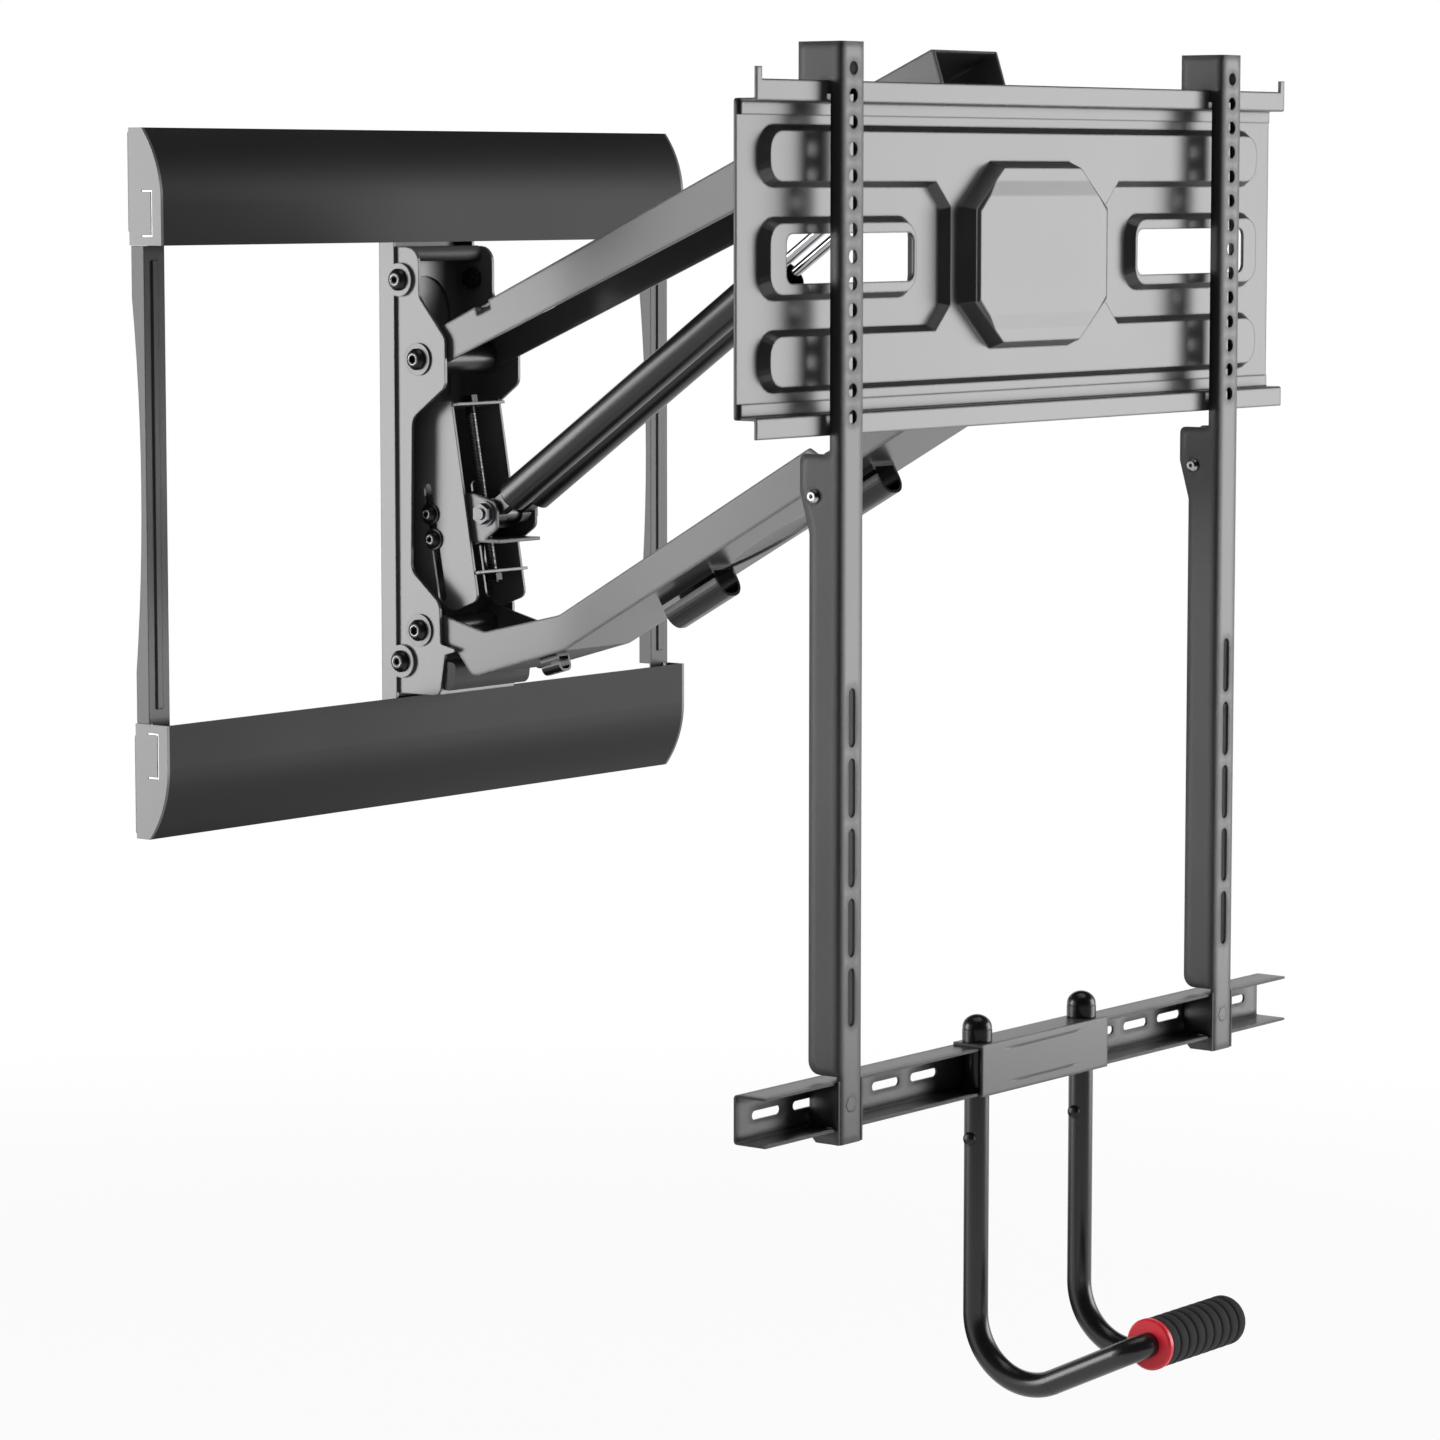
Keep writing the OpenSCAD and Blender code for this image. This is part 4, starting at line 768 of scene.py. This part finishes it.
class NodeRecipe:
    """A Geometry Nodes tree with named inputs, whose result becomes a plain mesh."""

    def __init__(self, name: str, inputs: dict[str, str]) -> None:
        """Starts the tree.

        Args:
            name: the tree's name.
            inputs: each named input and the type of its socket.
        """
        self.tree = bpy.data.node_groups.new(name, "GeometryNodeTree")
        self.tree.is_modifier = True
        face = self.tree.interface
        face.new_socket("Geometry", in_out="OUTPUT", socket_type="NodeSocketGeometry")
        face.new_socket("Geometry", in_out="INPUT", socket_type="NodeSocketGeometry")
        self.keys = {
            key: face.new_socket(key, in_out="INPUT", socket_type=kind).identifier
            for key, kind in {**inputs, "Finish": "NodeSocketMaterial"}.items()
        }
        self.entry = self.tree.nodes.new("NodeGroupInput")

    def add(self, kind: str, settings: dict[str, Any], values: dict[Any, Any]) -> bpy.types.Node:
        """Adds a node whose sockets are set to values or linked to sockets."""
        made = self.tree.nodes.new(kind)
        for key, value in settings.items():
            setattr(made, key, value)
        for key, value in values.items():
            if isinstance(value, bpy.types.NodeSocket):
                self.tree.links.new(value, made.inputs[key])
            else:
                made.inputs[key].default_value = value
        return made

    def close(self, geometry: bpy.types.NodeSocket) -> None:
        """Ends the tree with Realize Instances and Set Material."""
        real = self.add("GeometryNodeRealizeInstances", {}, {"Geometry": geometry})
        material = self.entry.outputs["Finish"]
        values = {"Geometry": real.outputs[0], "Material": material}
        dressed = self.add("GeometryNodeSetMaterial", {}, values)
        last = self.tree.nodes.new("NodeGroupOutput")
        self.tree.links.new(dressed.outputs[0], last.inputs[0])

    def cook(
        self,
        name: str,
        points: Sequence[Triple],
        inputs: dict[str, Any],
        spot: Matrix | None = None,
    ) -> bpy.types.Object:
        """Runs the tree once and keeps its result as a plain mesh.

        Args:
            name: the piece's name.
            points: points handed to the tree.
            inputs: values of the named inputs.
            spot: where the result stands, the origin unless given.

        Returns:
            The finished piece.
        """
        seed = bpy.data.meshes.new(name + "_points")
        seed.from_pydata([Vector(p) for p in points], [], [])
        holder = bpy.data.objects.new(name + "_holder", seed)
        bpy.context.scene.collection.objects.link(holder)
        modifier = holder.modifiers.new("recipe", "NODES")
        modifier.node_group = self.tree
        for key, value in inputs.items():
            modifier[self.keys[key]] = value
        ready = holder.evaluated_get(bpy.context.evaluated_depsgraph_get())
        mesh = bpy.data.meshes.new_from_object(ready)
        mesh.name = name
        holder.modifiers.clear()
        bpy.data.objects.remove(holder)
        if spot is not None:
            mesh.transform(spot)
        return MeshMaker.object(name, mesh)


class Repeats:
    """The repeated fine pieces, set out by Geometry Nodes."""

    coil_steps = 20
    ridge_sides = 4

    def __init__(self, finishes: Finishes) -> None:
        """Builds the two recipes: a piece on each point, and a thread."""
        self.finishes = finishes
        self.row = NodeRecipe(
            "piece on each point", {"Piece": "NodeSocketObject", "Turn": "NodeSocketRotation"}
        )
        entry = self.row.entry.outputs
        piece = self.row.add("GeometryNodeObjectInfo", {}, {"Object": entry["Piece"]})
        values = {
            "Points": entry["Geometry"],
            "Instance": piece.outputs["Geometry"],
            "Rotation": entry["Turn"],
        }
        self.row.close(self.row.add("GeometryNodeInstanceOnPoints", {}, values).outputs[0])
        self.screw = NodeRecipe("screw thread", {
            "Radius": "NodeSocketFloat", "Length": "NodeSocketFloat",
            "Turns": "NodeSocketFloat", "Ridge": "NodeSocketFloat",
        })
        entry = self.screw.entry.outputs
        coil = self.screw.add("GeometryNodeCurveSpiral", {}, {
            "Resolution": self.coil_steps, "Rotations": entry["Turns"],
            "Start Radius": entry["Radius"], "End Radius": entry["Radius"],
            "Height": entry["Length"],
        })
        values = {"Resolution": self.ridge_sides, "Radius": entry["Ridge"]}
        ridge = self.screw.add("GeometryNodeCurvePrimitiveCircle", {}, values)
        values = {"Curve": coil.outputs[0], "Profile Curve": ridge.outputs[0], "Fill Caps": True}
        self.screw.close(self.screw.add("GeometryNodeCurveToMesh", {}, values).outputs[0])

    def on_points(
        self,
        name: str,
        piece: bpy.types.Object,
        points: Sequence[Triple],
        finish: Finish,
        turn: Triple = STILL,
    ) -> bpy.types.Object:
        """Sets a piece on each point.

        Args:
            name: the result's name.
            piece: the piece, which is used up.
            points: where it goes.
            finish: the finish of the result.
            turn: the turn of every copy, in radians.

        Returns:
            One mesh with every copy.
        """
        inputs = {"Piece": piece, "Turn": turn, "Finish": self.finishes.get(finish)}
        made = self.row.cook(name, points, inputs)
        bpy.data.objects.remove(piece)
        return made

    def thread(
        self, name: str, size: tuple[float, float, float, float], finish: Finish, spot: Matrix
    ) -> bpy.types.Object:
        """Cuts a thread as a raised helical ridge.

        Args:
            name: the thread's name.
            size: radius, length, pitch and ridge height.
            finish: its finish.
            spot: where its axis stands.

        Returns:
            The thread.
        """
        radius, length, pitch, ridge = size
        inputs = {
            "Radius": radius, "Length": length, "Turns": length / pitch, "Ridge": ridge,
            "Finish": self.finishes.get(finish),
        }
        return self.screw.cook(name, [(0.0, 0.0, 0.0)], inputs, spot)


NODE_FINISH: dict[Finish, tuple[str, ...]] = {
    Finish.WALL: ("upper_wall_rail", "lower_wall_rail"),
    Finish.STRIP: ("left_side_strip", "right_side_strip"),
    Finish.COLUMN: ("wall_column", "arm_carrier", "adjuster_bracket"),
    Finish.ARM: ("upper_arm", "lower_arm", "slider_block"),
    Finish.PLATE: ("vesa_plate", "upper_hook_rail", "lower_hook_rail"),
    Finish.BRACKET: ("left_tv_bracket", "right_tv_bracket", "cross_rail"),
    Finish.CLAMP: ("handle_clamp",),
    Finish.HEAD: (
        "upper_arm_hubs", "lower_arm_hubs", "head_bracket", "swivel_block", "tilt_bracket",
    ),
    Finish.TUBE: ("handle_tube",),
    Finish.CYLINDER: ("left_gas_cylinder", "right_gas_cylinder"),
    Finish.COVER: ("upper_cover", "lower_cover"),
    Finish.LIGHTENED_CAP: ("upper_left_cap", "upper_right_cap", "lower_left_cap", "lower_right_cap"),
    Finish.CLIP: ("cable_clips", "leg_caps"),
    Finish.RUBBER: ("lower_bumper",),
    Finish.BAR: ("upper_stop_bar",),
    Finish.RED: ("left_grip_ring", "right_grip_ring"),
    Finish.FOAM: ("grip_foam",),
    Finish.OXIDE: (
        "ear_screws", "upper_wall_axle", "lower_wall_axle", "slider_bolts", "head_upper_axle",
        "head_lower_studs", "tilt_pin", "cross_rail_bolts", "tension_screw",
    ),
    Finish.ZINC: ("strip_screws", "spring_top_pin", "safety_screws"),
    Finish.DULL: ("pivot_washers", "slider_pin", "swivel_pin", "stop_pins"),
    Finish.CHROME: ("left_gas_rod", "right_gas_rod"),
}


@dataclass
class FoamGrip:
    """The ribbed foam sleeve of the pull handle, and the ring set into its right end.

    rib_steps and round_part are shares of one rib, end_ease makes the last rib's end rounder,
    and cut is how much deeper than the ribs' sides a groove goes.
    """

    left: float = -0.0518
    right: float = 0.0568
    outer: float = 0.02
    inner: float = 0.0103
    ribs: int = 9
    groove: float = 0.0019
    seat: float = 0.0182
    seat_depth: float = 0.0045
    rib_steps: tuple[float, ...] = (0.03, 0.08, 0.16, 0.3, 0.5, 0.7, 0.84, 0.92, 0.97)
    round_part: float = 0.16
    end_ease: float = 0.45
    cut: float = 1.12
    skin: float = 0.0003
    play: float = 0.0001
    centre: Pair = (-0.821757, -0.656362)

    def spot(self) -> Matrix:
        """Where the sleeve's axis stands."""
        return Matrix.Translation((0.0, *self.centre)) @ Matrix.Rotation(math.pi / 2, 4, "Y")

    def sleeve(self) -> bpy.types.Object:
        """Makes the sleeve with rounded ribs and narrow grooves.

        Returns:
            The sleeve.
        """
        pitch = (self.right - self.left) / self.ribs
        profile = [(self.inner, self.left), (self.outer - self.groove, self.left)]
        for k in range(self.ribs):
            start = self.left + k * pitch
            final = k == self.ribs - 1
            for t in self.rib_steps:
                edge = min(t, (1 - t) * self.end_ease if final else 1 - t)
                crown = 1 - (1 - min(1.0, edge / self.round_part)) ** 2
                swell = self.skin * math.sin(math.pi * t)
                radius = self.outer - self.groove * (1 - crown) - self.skin + swell
                profile.append((radius, start + t * pitch))
            if not final:
                profile.append((self.outer - self.groove * self.cut, start + pitch))
        floor = self.right - self.seat_depth
        profile += [(self.seat, self.right), (self.seat, floor), (self.inner, floor)]
        return MeshMaker.turned("foam_sleeve", profile, 96, self.spot())

    def ring(self) -> bpy.types.Object:
        """Makes the ring that is set into the sleeve's right end.

        Returns:
            The ring.
        """
        ease, corner = 0.0006, 0.0002
        r, high = self.seat - self.play, self.right + self.play
        low = self.right - (self.seat_depth - self.play)
        profile = [
            (self.inner, low), (r, low), (r, high - ease), (r - corner, high - corner),
            (r - ease, high), (self.inner + ease, high), (self.inner, high - ease),
        ]
        return MeshMaker.turned("right_ring_insert", profile, 72, self.spot())


@dataclass
class LegFittings:
    """Domed caps on the handle's two legs, and the domed stop pins in them."""

    leg_x: float = 0.074
    leg_y: float = -0.668773
    base_z: float = -0.42926
    pin_z: float = -0.50676
    cap_r: float = 0.012
    cap_h: float = 0.0215
    tube_r: float = 0.01
    seam: float = 0.0105
    bore_gap: float = 0.0002

    def cap(self) -> bpy.types.Object:
        """One cap: a straight skirt, a seam ring and a round top."""
        r, h, seam, bore = self.cap_r, self.cap_h, self.seam, self.tube_r + self.bore_gap
        lip, sunk, notch = 0.0004, 0.0005, 0.0003
        top, above = r - 0.0002, seam + 2 * notch
        profile = [(bore, 0.0), (r - lip, 0.0), (r, sunk), (r, seam - 2 * notch)]
        profile += [(r - sunk, seam - notch), (r - sunk, seam + notch), (top, above)]
        profile += MeshMaker.dome(top, above, h - above, 16)
        profile += [(0.0, h - 0.003), (bore, h - 0.008)]
        return MeshMaker.turned("cap_pattern", profile, 48)

    def pin(self) -> bpy.types.Object:
        """One stop pin: a domed head on the tube's side and a shank that ends flush."""
        r, h, shank, under = 0.0056, 0.0034, 0.0025, -0.0012
        far = -2 * self.tube_r - 0.0004
        profile = [(0.0, far), (shank, far + 0.0002), (shank, under), (r * 0.94, under)]
        profile += [(r, -0.0004), *MeshMaker.dome(r, 0.0002, h - 0.0002, 10)]
        return MeshMaker.turned("pin_pattern", profile, 28)

    def build(self, repeats: Repeats) -> tuple[bpy.types.Object, bpy.types.Object]:
        """Sets out caps and pins.

        Args:
            repeats: the recipes.

        Returns:
            The caps and the pins.
        """
        legs = (-self.leg_x, self.leg_x)
        places = [(x, self.leg_y, self.base_z) for x in legs]
        caps = repeats.on_points("leg_domes", self.cap(), places, Finish.CLIP)
        spots = [(x - self.tube_r, self.leg_y, self.pin_z) for x in legs]
        turn = (0.0, -math.pi / 2, 0.0)
        return caps, repeats.on_points("domed_stop_pins", self.pin(), spots, Finish.OXIDE, turn)


@dataclass
class RailBolts:
    """Bolts behind the brackets' fronts, of which only a low six-sided mark shows.

    mark, collar and nut are radii, and those that end in low count back from the front.
    """

    x: float = 0.264
    front: float = -0.684773
    web: float = -0.6543
    z: float = -0.45075
    mark: float = 0.0066
    mark_low: float = 0.0012
    collar: float = 0.0085
    collar_low: float = 0.0026
    nut: float = 0.0055
    nut_high: float = 0.004

    def bolt(self) -> bpy.types.Object:
        """One bolt: a thin six-sided mark, a collar and a nut behind the web."""
        side, proud = self.mark - 0.0003, -0.0002
        profile = [(0.0, proud), (self.mark - 0.0006, proud), (side, 0.0), (side, self.mark_low)]
        front = MeshMaker.turned("bolt_mark", profile + [(0.0, self.mark_low)], 6)
        depth = self.web - self.front
        end = depth + self.nut_high
        profile = [(0.0, self.collar_low), (self.collar, self.collar_low), (self.collar, depth)]
        profile += [(self.nut, depth), (self.nut, end), (0.0, end)]
        back = MeshMaker.turned("bolt_body", profile, 32)
        bm = bmesh.new()
        bm.from_mesh(front.data)
        bm.from_mesh(back.data)
        bm.transform(Matrix.Rotation(-math.pi / 2, 4, "X"))
        for part in (front, back):
            bpy.data.objects.remove(part)
        return MeshMaker.kept("bolt_pattern", bm)

    def build(self, repeats: Repeats) -> bpy.types.Object:
        """Sets the two bolts out."""
        spots = [(side * self.x, self.front, self.z) for side in (-1.0, 1.0)]
        return repeats.on_points("flush_rail_bolts", self.bolt(), spots, Finish.HEAD)


@dataclass
class RailSaddles:
    """The brackets' side walls where they reach through the cross rail's channel."""

    walls: tuple[float, ...] = (-0.2785, -0.2495, 0.2495, 0.2785)
    thick: float = 0.0019

    def wall(self) -> bpy.types.Object:
        """One wall, notched for the rail's two flanges, with one cut corner."""
        outline = (
            (-684.5, -480.4), (-663.0, -480.4), (-660.0, -477.4), (-660.0, -470.4),
            (-682.6, -470.4), (-682.6, -467.2), (-656.8, -467.2), (-656.8, -434.4),
            (-682.6, -434.4), (-682.6, -431.2), (-684.5, -431.2),
        )
        return MeshMaker.sheet("wall_pattern", outline, self.thick)

    def build(self, repeats: Repeats) -> bpy.types.Object:
        """Sets the four walls out."""
        spots = [(x, 0.0, 0.0) for x in self.walls]
        return repeats.on_points("rail_saddles", self.wall(), spots, Finish.BRACKET)


@dataclass
class SlotBrighteningFrames:
    """Pale frames set in the end caps' slots, which paint the slots bright."""

    x: float = 0.3414
    y: float = -0.026
    z: float = 0.223
    thick: float = 0.0022

    def frame(self) -> bpy.types.Object:
        """One frame: three sides of a rectangle."""
        outline = (
            (5.9, 18.9), (-5.9, 18.9), (-5.9, -18.9), (5.9, -18.9),
            (5.9, -17.7), (-4.7, -17.7), (-4.7, 17.7), (5.9, 17.7),
        )
        return MeshMaker.sheet("frame_pattern", outline, self.thick)

    def build(self, repeats: Repeats) -> bpy.types.Object:
        """Sets the four frames out."""
        spots = [(a * self.x, self.y, b * self.z) for a in (-1.0, 1.0) for b in (-1.0, 1.0)]
        return repeats.on_points("cap_snap_frames", self.frame(), spots, Finish.SLOT_BRIGHTENER)


@dataclass
class SocketHighlightRings:
    """Bright zinc rings round the key sockets of the wall unit's screws, which paint the
    highlights on the rims of the screw heads.
    """

    ear: Triple = (0.05858, -0.042, 0.165)
    pivot: tuple[Triple, Triple] = ((-0.05808, -0.062, 0.097), (-0.05808, -0.062, -0.137))
    lock: tuple[Triple, Triple] = ((0.0392, -0.06365, -0.05905), (0.0392, -0.05985, -0.03735))
    large: float = 0.0044
    small: float = 0.0033
    wire: float = 0.0004

    def ring(self, radius: float) -> bpy.types.Object:
        """One ring of round wire."""
        profile = [
            (radius + self.wire * math.cos(t), self.wire * math.sin(t))
            for t in (2 * math.pi * k / 8 for k in range(8))
        ]
        return MeshMaker.turned("ring_pattern", profile, 32, Matrix.Rotation(math.pi / 2, 4, "Y"))

    def build(self, repeats: Repeats) -> list[bpy.types.Object]:
        """Sets the large and the small rings out."""
        x, y, z = self.ear
        sides = (-1.0, 1.0)
        ears = [(a * x, y, b * z) for a in sides for b in sides]
        locks = [(a * x, y, z) for a in sides for x, y, z in self.lock]
        large, small = self.ring(self.large), self.ring(self.small)
        # Both sets of rings paint the highlights on the rims of the screw heads.
        return [
            repeats.on_points("large_socket_rings", large, ears + [*self.pivot], Finish.ZINC),
            repeats.on_points("small_socket_rings", small, locks, Finish.ZINC),
        ]


@dataclass
class HubSleeve:
    """The painted tube round the upper arm's wall pivot."""

    half: float = 0.0372
    outer: float = 0.013
    inner: float = 0.0102
    chamfer: float = 0.0006
    centre: Pair = (-0.062, 0.097)

    def build(self) -> bpy.types.Object:
        """Makes the tube with small chamfers."""
        c = self.chamfer
        profile = [
            (self.inner, -self.half), (self.outer - c, -self.half), (self.outer, c - self.half),
            (self.outer, self.half - c), (self.outer - c, self.half), (self.inner, self.half),
        ]
        spot = Matrix.Translation((0.0, *self.centre)) @ Matrix.Rotation(math.pi / 2, 4, "Y")
        return MeshMaker.turned("upper_hub_sleeve", profile, 64, spot)


@dataclass
class TensionThread:
    """The thread of the tension screw, on its leaning axis."""

    radius: float = 0.00385
    length: float = 0.138
    pitch: float = 0.00125
    ridge: float = 0.00042
    middle: Triple = (0.0, -0.0885, -0.01)
    below_middle: float = 0.0785
    lean: float = 10.0

    def build(self, repeats: Repeats) -> bpy.types.Object:
        """Cuts the thread."""
        turn = Matrix.Rotation(-math.radians(self.lean), 4, "X")
        spot = Matrix.Translation(self.middle) @ turn
        spot = spot @ Matrix.Translation((0.0, 0.0, -self.below_middle))
        size = (self.radius, self.length, self.pitch, self.ridge)
        return repeats.thread("adjuster_thread", size, Finish.ZINC, spot)


class Mount:
    """The dressed wall mount."""

    def __init__(self, frame: dict[str, Any]) -> None:
        """Keeps the loaded frame."""
        self.frame = frame
        self.finishes = Finishes()
        self.repeats = Repeats(self.finishes)

    def dress_nodes(self) -> None:
        """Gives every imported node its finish."""
        for finish, names in NODE_FINISH.items():
            for name in names:
                self.finishes.dress(self.frame["nodes"][name], finish)
                log.info("dressed %s in %s", name, finish.value.name)

    def add_grip(self) -> None:
        """Replaces the foam node by the detailed sleeve."""
        grip = FoamGrip()
        sleeve = grip.sleeve()
        self.finishes.dress(sleeve, Finish.FOAM)
        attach(sleeve, "handle")
        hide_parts("grip_foam")
        ring = grip.ring()
        self.finishes.dress(ring, Finish.RED)
        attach(ring, "handle")
        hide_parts("right_grip_ring")
        log.info("made %s and %s", sleeve.name, ring.name)

    def add_leg_fittings(self) -> None:
        """Adds domed caps and headed stop pins in place of the plain ones."""
        caps, pins = LegFittings().build(self.repeats)
        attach(caps, "handle")
        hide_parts("leg_caps")
        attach(pins, "handle")
        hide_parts("stop_pins")
        log.info("made %s and %s", caps.name, pins.name)

    def add_rail_bolts(self) -> None:
        """Adds the flush bolts that hold the cross rail, and the walls that reach into it."""
        walls = RailSaddles().build(self.repeats)
        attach(walls, "screen_frame")
        log.info("made %s", walls.name)
        piece = RailBolts().build(self.repeats)
        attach(piece, "screen_frame")
        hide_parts("cross_rail_bolts")
        log.info("made %s", piece.name)

    def add_wall_details(self) -> None:
        """Adds the pale frames that paint the caps' slots bright and the bright rings that paint
        highlights round the screws' sockets, on the wall unit, and the upper hub's sleeve.
        """
        for piece in (SlotBrighteningFrames().build(self.repeats), *SocketHighlightRings().build(self.repeats)):
            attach(piece, "wall_unit")
            log.info("made %s", piece.name)
        sleeve = HubSleeve().build()
        self.finishes.dress(sleeve, Finish.HEAD)
        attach(sleeve, "upper_arm")
        log.info("made %s", sleeve.name)

    def add_thread(self) -> None:
        """Adds the tension screw's thread."""
        piece = TensionThread().build(self.repeats)
        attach(piece, "tension_screw")
        log.info("made %s", piece.name)


def main() -> None:
    """Builds the studio and the dressed mount."""
    logging.basicConfig(level=logging.INFO, format="%(name)s: %(message)s")
    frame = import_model()
    Studio().build()
    mount = Mount(frame)
    mount.dress_nodes()
    mount.add_grip()
    mount.add_leg_fittings()
    mount.add_rail_bolts()
    mount.add_wall_details()
    mount.add_thread()


if __name__ == "__main__":
    main()
